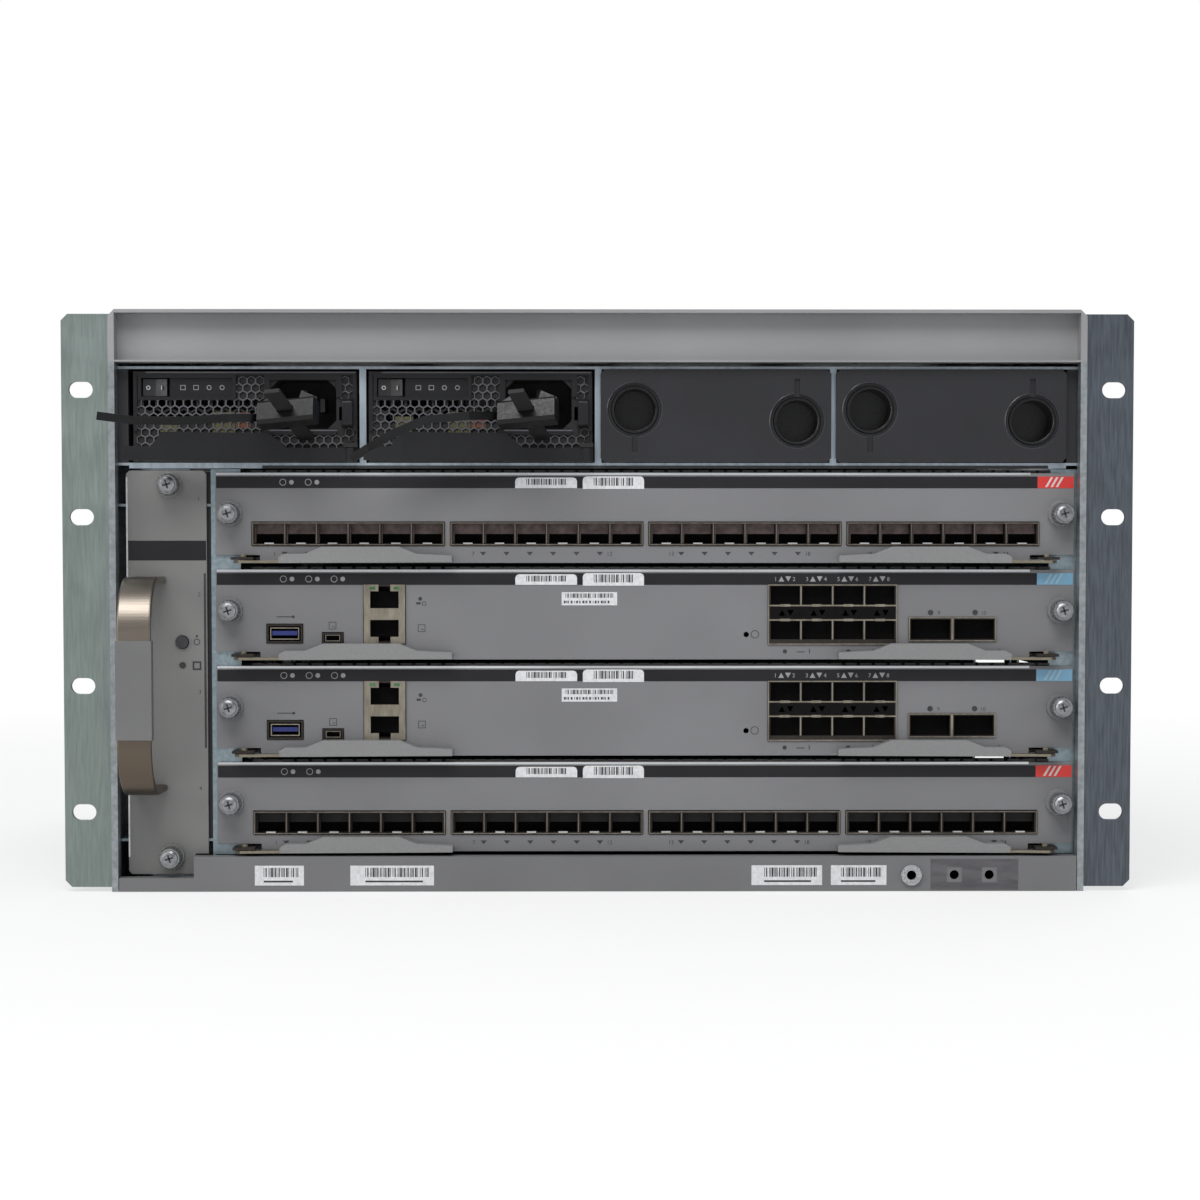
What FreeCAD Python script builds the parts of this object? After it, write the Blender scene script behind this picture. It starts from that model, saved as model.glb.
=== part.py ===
import FreeCAD, Part
import math
import os
import Sketcher

# Modular chassis switch for a nineteen-inch rack, in millimetres.
# X runs to the right seen from the front, the front faces -Y and Z is up.
# The origin is the centre of the chassis floor's underside.

doc = FreeCAD.newDocument("modular_chassis_switch")

# Driving dimensions. Each one is a cell of the sheet with the same alias.
DIMENSIONS = {
    # chassis shell
    "body_width": 440.0,
    "body_height": 262.4,
    "body_depth": 410.0,
    "wall": 1.5,
    "hem_width": 2.9,
    "hem_depth": 8.0,
    "face_recess": 9.0,
    "running_gap": 0.3,
    "vent_length": 130.0,
    "vent_height": 26.0,
    "vent_rows": 5,
    "vent_columns": 2,
    "vent_row_pitch": 35.0,
    "vent_column_pitch": 150.0,
    "vent_first_row": 20.0,
    "vent_margin": 19.0,
    "cover_flange": 10.0,
    "exhaust_width": 21.3,
    "exhaust_height": 33.8,
    "exhaust_rise": 3.0,
    "exhaust_pitch": 26.6,
    "lug_drop": 12.0,
    # front trim
    "bezel_height": 23.5,
    "bezel_depth": 12.0,
    "bezel_recess": 8.0,
    "bezel_rim": 1.6,
    "bezel_skin": 2.0,
    "bezel_corner": 3.0,
    "base_lip_low": 6.2,
    "base_lip_high": 15.9,
    "base_lip_step": -183.0,
    "base_lip_return": 7.0,
    "base_lip_corner": 2.0,
    "esd_place": 141.8,
    "esd_radius": 4.6,
    "esd_bore": 2.15,
    "esd_length": 9.2,
    "seat_fit": 0.1,
    "ground_place": 161.4,
    "ground_spacing": 15.88,
    "ground_radius": 2.1,
    "ground_height": 7.4,
    # rack ears
    "rack_width": 482.6,
    "ear_height": 258.5,
    "ear_sheet": 2.5,
    "ear_setback": 2.0,
    "ear_leg": 62.0,
    "ear_corner": 3.0,
    "rack_hole_span": 465.1,
    "rack_hole_outer": 190.5,
    "rack_hole_inner": 76.2,
    "rack_slot_length": 10.8,
    "rack_slot_radius": 3.6,
    "ear_screw_radius": 3.6,
    "ear_screw_head": 1.8,
    "ear_screw_shank": 2.0,
    "ear_screw_place": 40.0,
    "ear_screw_pitch": 100.0,
    "ear_screw_count": 3,
    # power supply bays
    "shelf_top": 193.9,
    "shelf_hem": 2.5,
    "bay_pitch": 106.4,
    "bay_height": 42.3,
    "divider_sheet": 1.2,
    "divider_hem": 3.0,
    "trim_inner": 212.4,
    "trim_depth": 30.0,
    # card slots
    "slot_bottom": 17.2,
    "slot_pitch": 43.8,
    "card_centre": 21.4,
    "card_width": 389.6,
    "card_height": 40.7,
    "card_depth": 360.0,
    "module_sheet": 1.2,
    "guide_sheet": 1.2,
    "guide_side_gap": 1.0,
    "guide_window_first": 30.0,
    "guide_window_length": 140.0,
    "guide_window_pitch": 160.0,
    "guide_window_rim": 8.0,
    "guide_window_count": 2,
    "notch_width": 20.0,
    "notch_height": 3.5,
    "top_return": 8.0,
    "screw_inset": 6.4,
    "screw_rise": 22.3,
    "screw_hole": 2.9,
    "board_inset": 12.0,
    "flange_gap": 0.8,
    "ledge_reach": 20.0,
    "tray_rim": 14.0,
    "board_sheet": 1.6,
    "board_rise": 4.0,
    "board_setback": 2.0,
    "spacer_first": 20.0,
    "spacer_size": 8.0,
    "spacer_place": -154.0,
    "spacer_pitch": 100.0,
    "gasket_rise": 1.4,
    "gasket_slope": 1.0,
    "backplane_sheet": 2.4,
    "backplane_gap": 6.0,
    "plug_left": -60.0,
    "plug_width": 210.0,
    "plug_depth": 12.0,
    "plug_rise": 7.5,
    "plug_height": 14.0,
    "backplane_window": 48.0,
    "backplane_rim": 8.0,
    # ejector levers
    "pivot_inset": 12.9,
    "pivot_forward": 4.6,
    "pivot_pin": 1.5,
    "pin_fit": 0.06,
    "eye_radius": 4.0,
    "arm_length": 24.0,
    "lever_length": 98.5,
    "lever_depth": 6.6,
    "lever_thick": 4.2,
    "lever_raise": 3.2,
    "tongue_half": 5.0,
    "eye_waist": 2.4,
    "arm_setback": 1.0,
    "grip_start": 16.0,
    "grip_nose": 1.6,
    "grip_step": 3.0,
    "grip_ramp_start": 12.0,
    "grip_ramp_end": 20.0,
    "grip_tail": 24.0,
    "grip_tail_step": 16.0,
    "grip_tip_low": 0.4,
    "grip_tip_high": 3.4,
    "rivet_head": 0.9,
    # captive screws
    "knob_radius": 5.2,
    "knob_length": 9.0,
    "knob_flute": 0.5,
    "collar_radius": 5.7,
    "collar_length": 2.4,
    "shank_radius": 2.4,
    "shank_reach": 7.0,
    "knob_teeth": 7,
    # line card ports
    "gang_first": -178.2,
    "gang_pitch": 89.95,
    "gang_width": 87.0,
    "gang_bottom": 8.0,
    "gang_height": 10.4,
    "port_pitch": 14.33,
    "port_width": 13.2,
    "port_height": 8.8,
    "port_depth": 46.0,
    "cage_wall": 0.8,
    "cage_proud": 0.6,
    "window_gap": 0.3,
    # supervisor ports
    "network_jack_left": -127.8,
    "network_jack_width": 18.8,
    "network_jack_bottom": 7.3,
    "network_jack_height": 26.7,
    "network_jack_opening": 12.9,
    "network_jack_rise": 7.7,
    "network_jack_latch": 5.4,
    "network_jack_step": 2.2,
    "network_jack_depth": 18.4,
    "usb_left": -171.8,
    "usb_width": 16.2,
    "usb_bottom": 7.6,
    "usb_height": 8.4,
    "console_left": -146.6,
    "console_width": 9.3,
    "console_bottom": 7.2,
    "console_height": 5.0,
    "stack_left": 55.9,
    "stack_width": 58.4,
    "stack_bottom": 6.9,
    "stack_height": 27.0,
    "stack_port_pitch": 14.4,
    "stack_upper_row": 17.6,
    "stack_lower_row": 2.2,
    "uplink_left": 119.9,
    "uplink_width": 39.4,
    "uplink_bottom": 8.4,
    "uplink_height": 10.6,
    "uplink_port": 17.9,
    "reset_place": 45.9,
    "reset_rise": 11.3,
    "reset_radius": 1.2,
    "sink_width": 90.0,
    "sink_depth": 84.0,
    "sink_height": 18.0,
    "sink_base": 3.0,
    "sink_place": 180.0,
    "sink_fins": 10,
    "fin_sheet": 2.0,
    # fan tray
    "tray_centre": -195.6,
    "tray_width": 36.4,
    "tray_bottom": 6.9,
    "tray_height": 183.5,
    "tray_depth": 352.0,
    "tray_step_width": 6.0,
    "tray_step_height": 9.4,
    "tray_corner": 1.5,
    "tray_joint": 0.4,
    "tray_tab_inset": 2.0,
    "tray_tab_width": 18.2,
    "tray_left_gap": 1.2,
    "tray_right_gap": 1.5,
    "fan_count": 3,
    "tray_side": 1.2,
    "tray_inset": 16.5,
    "fan_pitch": 116.0,
    "fan_first": 60.0,
    "fan_opening": 56.0,
    "fan_radius": 53.0,
    "hub_radius": 19.0,
    "hub_length": 22.0,
    "blade_count": 5,
    "blade_sheet": 1.6,
    "blade_root": 3.0,
    "blade_lean": 11.0,
    "blade_camber": 2.75,
    "blade_margin": 1.0,
    "strut_width": 5.0,
    "fan_pin": 2.0,
    "handle_width": 15.0,
    "handle_top": 135.6,
    "handle_bottom": 38.1,
    "handle_place": -7.8,
    "handle_reach": 45.0,
    "handle_sheet": 3.0,
    "handle_bend": 24.0,
    "grip_length": 43.7,
    "grip_centre": 86.0,
    "grip_thick": 5.4,
    "grip_wall": 0.5,
    "grip_proud": 0.6,
    "grip_fit": 0.02,
    "fan_screw_place": 1.6,
    "fan_screw_top": 177.0,
    "fan_screw_bottom": 8.3,
    "beacon_place": 6.8,
    "beacon_rise": 105.8,
    "beacon_radius": 2.8,
    "beacon_proud": 1.4,
    "beacon_fit": 0.2,
    "beacon_travel": 1.0,
    "beacon_collar": 0.9,
    # power supply
    "supply_width": 101.2,
    "supply_height": 41.0,
    "supply_depth": 330.0,
    "supply_wall": 1.0,
    "supply_face": 2.0,
    "exit_left": 12.0,
    "exit_right": 8.0,
    "exit_rim": 8.0,
    "panel_left": 3.8,
    "panel_width": 41.2,
    "panel_top": 3.1,
    "panel_height": 8.4,
    "panel_depth": 1.2,
    "switch_width": 12.6,
    "switch_depth": 9.0,
    "switch_pivot": 4.6,
    "switch_margin": 0.7,
    "switch_crest": 3.4,
    "switch_valley": 2.2,
    "switch_edge": 1.5,
    "switch_root": 3.0,
    "switch_foot": 3.8,
    "switch_turn": -7.0,
    "switch_pin": 1.2,
    "inlet_left": 61.8,
    "inlet_width": 30.0,
    "inlet_top": 3.9,
    "inlet_height": 22.2,
    "inlet_depth": 24.0,
    "inlet_corner": 4.0,
    "inlet_wall": 1.2,
    "pin_length": 16.0,
    "pin_sheet": 2.0,
    "pin_height": 6.0,
    "pin_pitch": 8.0,
    "pin_rise": 4.0,
    "part_setback": 8.0,
    "part_depth": 24.0,
    "board_start": 30.0,
    "transformer_left": -42.0,
    "transformer_width": 28.0,
    "transformer_height": 24.0,
    "choke_left": -8.0,
    "choke_width": 20.0,
    "choke_height": 20.0,
    "capacitor_left": 18.0,
    "capacitor_width": 24.0,
    "capacitor_height": 22.0,
    "cell_pitch": 6.2,
    "cell_width": 5.2,
    "cell_left": 7.4,
    "cell_top": 15.0,
    "latch_left": 94.6,
    "latch_width": 4.8,
    "latch_bottom": 15.4,
    "latch_height": 13.1,
    "latch_proud": 5.0,
    "latch_travel": 2.5,
    "latch_stem": 2.4,
    "latch_root": 5.4,
    "latch_reach": 3.0,
    "latch_slope": 1.5,
    "bar_height": 6.2,
    "bar_raise": 6.6,
    "bar_sheet": 3.0,
    "bar_standoff": 28.0,
    "bar_pivot": 48.0,
    "bar_pivot_forward": 4.2,
    "bar_pin": 1.3,
    "bar_eye": 3.0,
    "bar_rivet": 0.8,
    "bar_ramp_start": 11.6,
    "bar_ramp_end": 16.3,
    "bar_drop_start": 62.3,
    "bar_drop_end": 70.1,
    # cord retainer
    "rail_root": 28.0,
    "rail_rise": 10.4,
    "rail_width": 7.0,
    "rail_sheet": 1.8,
    "rail_length": 50.0,
    "rail_start": 0.8,
    "rail_run_across": -10.5,
    "rail_run_deep": -44.0,
    "rail_run_up": 18.7,
    "clamp_place": 23.0,
    "clamp_width": 26.0,
    "clamp_height": 11.2,
    "clamp_depth": 9.0,
    "clamp_corner": 1.5,
    "wing_root": 2.0,
    "wing_rise": 1.0,
    "wing_tip": 5.0,
    "wing_sheet": 1.6,
    "wing_setback": 3.0,
    "wing_outer": 5.85,
    "wing_inner": 3.9,
    "strap_width": 3.6,
    "strap_sheet": 1.6,
    # bay blanks
    "blank_width": 104.2,
    "blank_height": 41.6,
    "blank_depth": 38.0,
    "blank_proud": 4.0,
    "blank_inset": 0.8,
    "blank_sheet": 2.0,
    "blank_corner": 1.8,
    "cup_radius": 12.0,
    "cup_step": 2.4,
    "cup_bore": 9.7,
    "cup_depth": 16.0,
    "cup_wall": 1.5,
    "cup_inset": 15.4,
    "cup_rise": 23.6,
    "cup_drop": 18.5,
    "cup_slot_width": 2.4,
    "cup_slot_length": 7.0,
    "cup_slot_start": 11.6,
    "blank_flange_gap": 1.3,
    "blank_headroom": 0.6,
}

sheet = doc.addObject("Spreadsheet::Sheet", "sizes")
for row, (alias, number) in enumerate(DIMENSIONS.items(), 1):
    sheet.set(f"A{row}", alias)
    sheet.set(f"B{row}", str(number))
    sheet.setAlias(f"B{row}", alias)
doc.recompute()


class Size:
    """A number together with the sheet expression that gives it."""

    def __init__(self, value, text):
        self.value = value
        self.text = text

    def __add__(self, other):
        other = as_size(other)
        return Size(self.value + other.value, f"({self.text} + {other.text})")

    def __sub__(self, other):
        other = as_size(other)
        return Size(self.value - other.value, f"({self.text} - {other.text})")

    def __mul__(self, other):
        other = as_size(other)
        return Size(self.value * other.value, f"({self.text} * {other.text})")

    def __truediv__(self, other):
        other = as_size(other)
        return Size(self.value / other.value, f"({self.text} / {other.text})")

    def __neg__(self):
        return Size(-self.value, f"(-1 * {self.text})")

    def __radd__(self, other):
        return as_size(other) + self

    def __rsub__(self, other):
        return as_size(other) - self

    def __rmul__(self, other):
        return as_size(other) * self


def as_size(value):
    return value if isinstance(value, Size) else Size(float(value), f"({value})")


class Sizes:
    """Named access to the sheet, so that size.wall carries its cell with it."""

    def __getattr__(self, alias):
        return Size(float(DIMENSIONS[alias]), f"sizes.{alias}")


size = Sizes()
PLANES = {"front": "XZ_Plane", "top": "XY_Plane", "side": "YZ_Plane"}


class Disc:
    """A circle of a sketch."""

    def __init__(self, across, up, radius):
        self.across, self.up, self.radius = as_size(across), as_size(up), as_size(radius)


def rectangle(left, right, bottom, top, corner=None):
    """Four corners, each with its rounding if there is one."""
    points = [(left, bottom), (right, bottom), (right, top), (left, top)]
    return [point + (corner,) for point in points] if corner is not None else points


def clipped(left, right, bottom, top, nip):
    """A rectangle with its four corners cut off by nip."""
    return [(left + nip, bottom), (right - nip, bottom), (right, bottom + nip),
            (right, top - nip), (right - nip, top), (left + nip, top),
            (left, top - nip), (left, bottom + nip)]


def ring(across, up, radius, sides=12):
    """A regular polygon whose flats lie at the radius, for small round pieces."""
    across, up = as_size(across), as_size(up)
    reach = as_size(radius) / math.cos(math.pi / sides)
    angles = [2 * math.pi * (index + 0.5) / sides for index in range(sides)]
    return [(across + reach * math.cos(angle), up + reach * math.sin(angle))
            for angle in angles]


def pin(across, up, radius):
    """An eight-sided pin whose corners lie at the radius, for a round bore."""
    return ring(across, up, as_size(radius) * math.cos(math.pi / 8), 8)


def slot(across, up, length, radius):
    """A level slot with round ends, as the rounded outline of its box."""
    half = as_size(length) / 2
    return ("slot", as_size(across) - half, as_size(across) + half, as_size(up), as_size(radius))


def make_body(label, across=None, deep=None, up=None):
    """A body whose origin lies at the place that the sheet gives."""
    body = doc.addObject("PartDesign::Body", label)
    body.Label = label
    for letter, place in (("x", across), ("y", deep), ("z", up)):
        if place is not None:
            body.setExpression(f"Placement.Base.{letter}", as_size(place).text)
    return body


def lock_point(sketch, shape, point, across, up):
    """Ties a sketch point to the sketch's origin by two bound distances."""
    for kind, distance in (("DistanceX", across), ("DistanceY", up)):
        distance = as_size(distance)
        rule = Sketcher.Constraint(kind, -1, 1, shape, point, distance.value)
        number = sketch.addConstraint(rule)
        sketch.setExpression(f"Constraints[{number}]", distance.text)


def step_towards(start, goal, reach):
    """The point that lies reach from start on the level or upright way to goal."""
    across = goal[0].value - start[0].value
    if abs(across) > 1e-6:
        return (start[0] + reach * math.copysign(1, across), start[1])
    rise = goal[1].value - start[1].value
    return (start[0], start[1] + reach * math.copysign(1, rise))


def draw_outline(sketch, points):
    """A closed outline. A point with a third value is rounded by that radius."""
    corners = [tuple(as_size(value) for value in point) for point in points]
    path = []
    for index, corner in enumerate(corners):
        if len(corner) == 2:
            path.append((corner, corner, None))
            continue
        before = corners[index - 1]
        after = corners[(index + 1) % len(corners)]
        enter = step_towards(corner, before, corner[2])
        leave = step_towards(corner, after, corner[2])
        centre = (enter[0] + leave[0] - corner[0], enter[1] + leave[1] - corner[1])
        path.append((enter, leave, centre))
    first = None
    previous = None
    for index, (enter, leave, centre) in enumerate(path):
        goal = path[(index + 1) % len(path)][0]
        if centre is not None:
            previous, first = draw_arc(sketch, enter, leave, centre, previous, first)
        begin = FreeCAD.Vector(leave[0].value, leave[1].value, 0)
        end = FreeCAD.Vector(goal[0].value, goal[1].value, 0)
        line = sketch.addGeometry(Part.LineSegment(begin, end), False)
        if previous is None:
            first = (line, 1)
        else:
            sketch.addConstraint(Sketcher.Constraint("Coincident", *previous, line, 1))
        lock_point(sketch, line, 1, *leave)
        previous = (line, 2)
    sketch.addConstraint(Sketcher.Constraint("Coincident", *previous, *first))


def draw_arc(sketch, enter, leave, centre, previous, first):
    """The quarter arc of a rounded corner, joined to the line before it."""
    middle = FreeCAD.Vector(centre[0].value, centre[1].value, 0)
    radius = math.hypot(enter[0].value - middle.x, enter[1].value - middle.y)
    from_angle = math.atan2(enter[1].value - middle.y, enter[0].value - middle.x)
    to_angle = math.atan2(leave[1].value - middle.y, leave[0].value - middle.x)
    turn = (to_angle - from_angle) % (2 * math.pi)
    start, finish = 1, 2
    if turn > math.pi:
        from_angle, to_angle = to_angle, from_angle
        start, finish = 2, 1
    circle = Part.Circle(middle, FreeCAD.Vector(0, 0, 1), radius)
    arc = sketch.addGeometry(Part.ArcOfCircle(circle, from_angle, to_angle), False)
    if previous is None:
        first = (arc, start)
    else:
        sketch.addConstraint(Sketcher.Constraint("Coincident", *previous, arc, start))
    lock_point(sketch, arc, start, *enter)
    across = Sketcher.Constraint("DistanceX", -1, 1, arc, 3, middle.x)
    number = sketch.addConstraint(across)
    sketch.setExpression(f"Constraints[{number}]", centre[0].text)
    return (arc, finish), first


def draw_disc(sketch, disc):
    middle = FreeCAD.Vector(disc.across.value, disc.up.value, 0)
    circle = Part.Circle(middle, FreeCAD.Vector(0, 0, 1), disc.radius.value)
    shape = sketch.addGeometry(circle, False)
    number = sketch.addConstraint(Sketcher.Constraint("Radius", shape, disc.radius.value))
    sketch.setExpression(f"Constraints[{number}]", disc.radius.text)
    lock_point(sketch, shape, 3, disc.across, disc.up)


def draw_slot(sketch, left, right, up, radius):
    """Two half circles joined by level lines."""
    ends = []
    for centre, turn in ((left, math.pi / 2), (right, -math.pi / 2)):
        middle = FreeCAD.Vector(centre.value, up.value, 0)
        circle = Part.Circle(middle, FreeCAD.Vector(0, 0, 1), radius.value)
        arc = sketch.addGeometry(Part.ArcOfCircle(circle, turn, turn + math.pi), False)
        lock_point(sketch, arc, 3, centre, up)
        ends.append(arc)
    number = sketch.addConstraint(Sketcher.Constraint("Radius", ends[0], radius.value))
    sketch.setExpression(f"Constraints[{number}]", radius.text)
    for side, (begin, end) in ((-1, ((0, 2), (1, 1))), (1, ((1, 2), (0, 1)))):
        height = up.value + side * radius.value
        points = [FreeCAD.Vector(value.value, height, 0) for value in (left, right)]
        points = points if side < 0 else points[::-1]
        line = sketch.addGeometry(Part.LineSegment(*points), False)
        sketch.addConstraint(Sketcher.Constraint("Tangent", ends[begin[0]], begin[1], line, 1))
        sketch.addConstraint(Sketcher.Constraint("Tangent", line, 2, ends[end[0]], end[1]))


def make_sketch(body, view, offset, outlines):
    """A sketch on one of the body's own planes, moved along that plane's normal."""
    sketch = body.newObject("Sketcher::SketchObject", f"{body.Name}_sketch")
    plane = next(item for item in body.Origin.OriginFeatures if item.Role == PLANES[view])
    sketch.AttachmentSupport = [(plane, "")]
    sketch.MapMode = "FlatFace"
    sketch.setExpression("AttachmentOffset.Base.z", as_size(offset).text)
    for outline in outlines:
        if isinstance(outline, Disc):
            draw_disc(sketch, outline)
        elif outline[0] == "slot":
            draw_slot(sketch, *outline[1:])
        else:
            draw_outline(sketch, outline)
    return sketch


def extrude(kind, body, view, start, end, outlines):
    """Pads or pockets the outlines between two places on the view's axis."""
    start, end = as_size(start), as_size(end)
    sketch = make_sketch(body, view, -end if view == "front" else start, outlines)
    feature = body.newObject(f"PartDesign::{kind}", f"{body.Name}_{kind}")
    feature.Profile = sketch
    feature.setExpression("Length", (end - start).text)
    if kind == "Pocket":
        feature.Reversed = True
    return feature


def add(body, view, start, end, *outlines):
    return extrude("Pad", body, view, start, end, outlines)


def cut(body, view, start, end, *outlines):
    return extrude("Pocket", body, view, start, end, outlines)


def repeat(body, feature, along, pitch, count, across=None, across_pitch=None, across_count=None):
    """A row, or a grid, of one feature. Rows follow the feature's own sketch axes."""
    pattern = body.newObject("PartDesign::LinearPattern", f"{body.Name}_pattern")
    pattern.Originals = [feature]
    sketch = feature.Profile[0]
    pattern.Direction = (sketch, [along])
    pattern.setExpression("Length", (as_size(pitch) * (as_size(count) - 1)).text)
    pattern.setExpression("Occurrences", as_size(count).text)
    if across is not None:
        pattern.Direction2 = (sketch, [across])
        pattern.setExpression("Length2", (as_size(across_pitch) * (as_size(across_count) - 1)).text)
        pattern.setExpression("Occurrences2", as_size(across_count).text)
    body.Tip = pattern
    return pattern


def gather(label, bodies):
    """One sub-part made of separate solids that stay together."""
    group = doc.addObject("Part::Compound", label)
    group.Label = label
    group.Links = bodies
    return group


front = -size.body_depth / 2
rear = size.body_depth / 2
face = front + size.face_recess
half_width = size.body_width / 2
inner_half = half_width - size.wall
cover_under = size.body_height - size.wall
bezel_bottom = size.body_height - size.bezel_height
bay_top = size.shelf_top + size.bay_height
hem_inner = half_width - size.hem_width


# --- chassis ---------------------------------------------------------------


def build_chassis_wrap():
    """Floor and side walls folded from one sheet, with hems and side vents."""
    body = make_body("chassis_wrap")
    outline = [(-half_width, 0), (half_width, 0), (half_width, cover_under)]
    outline += [(inner_half, cover_under), (inner_half, size.wall), (-inner_half, size.wall)]
    outline += [(-inner_half, cover_under), (-half_width, cover_under)]
    add(body, "front", front, rear, outline)
    for side in (-1, 1):
        hem = rectangle(side * inner_half, side * hem_inner, size.wall, cover_under)
        add(body, "front", front, front + size.hem_depth, hem)
    above = rectangle(-half_width - size.wall, half_width + size.wall,
                      bezel_bottom, size.body_height)
    cut(body, "front", front, front + size.bezel_depth, above)
    below = rectangle(-hem_inner, hem_inner, -size.wall, size.wall)
    cut(body, "front", front, front + size.wall + size.running_gap, below)
    first_vent = front + size.ear_leg + size.vent_margin
    vent = rectangle(first_vent, first_vent + size.vent_length,
                     size.vent_first_row, size.vent_first_row + size.vent_height)
    opening = cut(body, "side", -half_width, half_width, vent)
    repeat(body, opening, "H_Axis", size.vent_column_pitch, size.vent_columns,
           "V_Axis", size.vent_row_pitch, size.vent_rows)
    holes = cut(body, "side", -half_width, half_width,
                ring(ear_screw_y, ear_screw_z, size.ear_screw_shank + size.pin_fit, 6))
    repeat(body, holes, "V_Axis", size.ear_screw_pitch, size.ear_screw_count)
    return body


def build_top_cover():
    """Flat cover with a flange turned down inside each wall."""
    body = make_body("top_cover")
    start = front + size.bezel_depth + size.running_gap
    plate = rectangle(-half_width, half_width, cover_under, size.body_height)
    add(body, "front", start, rear, plate)
    for side in (-1, 1):
        outer = side * (inner_half - size.running_gap)
        inner = side * (inner_half - size.running_gap - size.wall)
        flange = rectangle(outer, inner, cover_under - size.cover_flange, cover_under)
        add(body, "front", start, rear - size.wall, flange)
    return body


def build_rear_panel():
    """Rear wall with an exhaust field behind each power supply bay."""
    body = make_body("rear_panel")
    edge = inner_half - size.running_gap
    plate = rectangle(-edge, edge, size.wall, cover_under)
    holes = []
    low = size.shelf_top + size.exhaust_rise
    for bay in range(4):
        for column in (-1, 0, 1):
            left = bay_centre(bay) + column * size.exhaust_pitch - size.exhaust_width / 2
            holes.append(rectangle(left, left + size.exhaust_width,
                                   low, low + size.exhaust_height))
    add(body, "front", rear - size.wall, rear, plate)
    cut(body, "front", rear - size.wall, rear, *holes)
    for side in (-1, 1):
        lug = rectangle(side * edge, side * (edge - size.wall), size.wall,
                        cover_under - size.lug_drop)
        add(body, "front", rear - size.cover_flange, rear, lug)
    return body


def build_top_bezel():
    """Shallow tray that faces forward: rim, recessed face and clipped corners."""
    body = make_body("top_bezel")
    high = size.body_height
    nip = size.bezel_corner
    outline = [(-half_width, bezel_bottom), (half_width, bezel_bottom), (half_width, high - nip)]
    outline += [(half_width - nip, high), (nip - half_width, high), (-half_width, high - nip)]
    add(body, "front", front, front + size.bezel_depth, outline)
    dish = rectangle(-hem_inner, hem_inner, bezel_bottom + size.bezel_rim / 2,
                     high - size.bezel_rim)
    cut(body, "front", front, front + size.bezel_recess, dish)
    hollow = rectangle(-hem_inner, hem_inner, bezel_bottom + size.bezel_rim,
                       high - size.bezel_rim)
    cut(body, "front", front + size.bezel_recess + size.bezel_skin,
        front + size.bezel_depth, hollow)
    return body


def build_bottom_bezel():
    """Stepped sill below the cards, with holes for the jack and the ground lug."""
    body = make_body("bottom_bezel")
    edge = hem_inner - size.running_gap
    step = size.base_lip_step
    low, high = size.base_lip_low, size.base_lip_high
    nip = size.base_lip_corner
    outline = [(-edge, 0), (edge, 0), (edge, high), (step + nip, high), (step, high - nip)]
    outline += [(step, low), (-edge, low)]
    add(body, "front", front, front + size.wall, outline)
    add(body, "front", front, front + size.base_lip_return,
        rectangle(step, edge, high - size.wall, high))
    add(body, "front", front, front + size.base_lip_return,
        rectangle(-edge, step, low - size.wall, low))
    holes = [ring(size.esd_place, size.ground_height, size.esd_bore + size.wall)]
    holes.append(Disc(size.ground_place, size.ground_height, size.ground_radius))
    second = size.ground_place + size.ground_spacing
    holes.append(Disc(second, size.ground_height, size.ground_radius))
    cut(body, "front", front, front + size.wall, *holes)
    return body


def build_esd_jack():
    """Turned wrist-strap jack: a flange, and a barrel through the sill."""
    body = make_body("esd_jack", size.esd_place, front, size.ground_height)
    add(body, "front", -size.wall, 0, ring(0, 0, size.esd_radius))
    barrel = ring(0, 0, size.esd_bore + size.wall - size.seat_fit)
    add(body, "front", 0, size.esd_length, barrel)
    cut(body, "front", -size.wall, size.esd_length, Disc(0, 0, size.esd_bore))
    return body


ear_screw_y = front + size.ear_screw_place
ear_screw_z = size.body_height / 2 - size.ear_screw_pitch * (size.ear_screw_count - 1) / 2


def build_rack_ear(label, side):
    """Angle bracket: slotted flange for the rack post and a leg along the wall."""
    body = make_body(label)
    flange = front + size.ear_setback
    low = (size.body_height - size.ear_height) / 2
    high = low + size.ear_height
    root = side * half_width
    tip = side * size.rack_width / 2
    corner = size.ear_corner
    near = side * (size.rack_width / 2 - corner)
    outline = [(root, low), (near, low), (tip, low + corner), (tip, high - corner)]
    outline += [(near, high), (root, high)]
    add(body, "front", flange, flange + size.ear_sheet, outline)
    middle = size.body_height / 2
    slots = []
    for spacing in (size.rack_hole_inner, size.rack_hole_outer):
        for upward in (-1, 1):
            slots.append(slot(side * size.rack_hole_span / 2, middle + upward * spacing / 2,
                              size.rack_slot_length - size.rack_slot_radius * 2,
                              size.rack_slot_radius))
    cut(body, "front", flange, flange + size.ear_sheet, *slots)
    leg = rectangle(root, side * (half_width + size.ear_sheet), low, high)
    add(body, "front", flange, flange + size.ear_leg, leg)
    edges = [side * half_width, side * (half_width + size.ear_sheet)]
    start, end = (edges[0], edges[1]) if side > 0 else (edges[1], edges[0])
    hole = cut(body, "side", start, end,
               ring(ear_screw_y, ear_screw_z, size.ear_screw_shank + size.pin_fit, 6))
    repeat(body, hole, "V_Axis", size.ear_screw_pitch, size.ear_screw_count)
    return body


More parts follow.
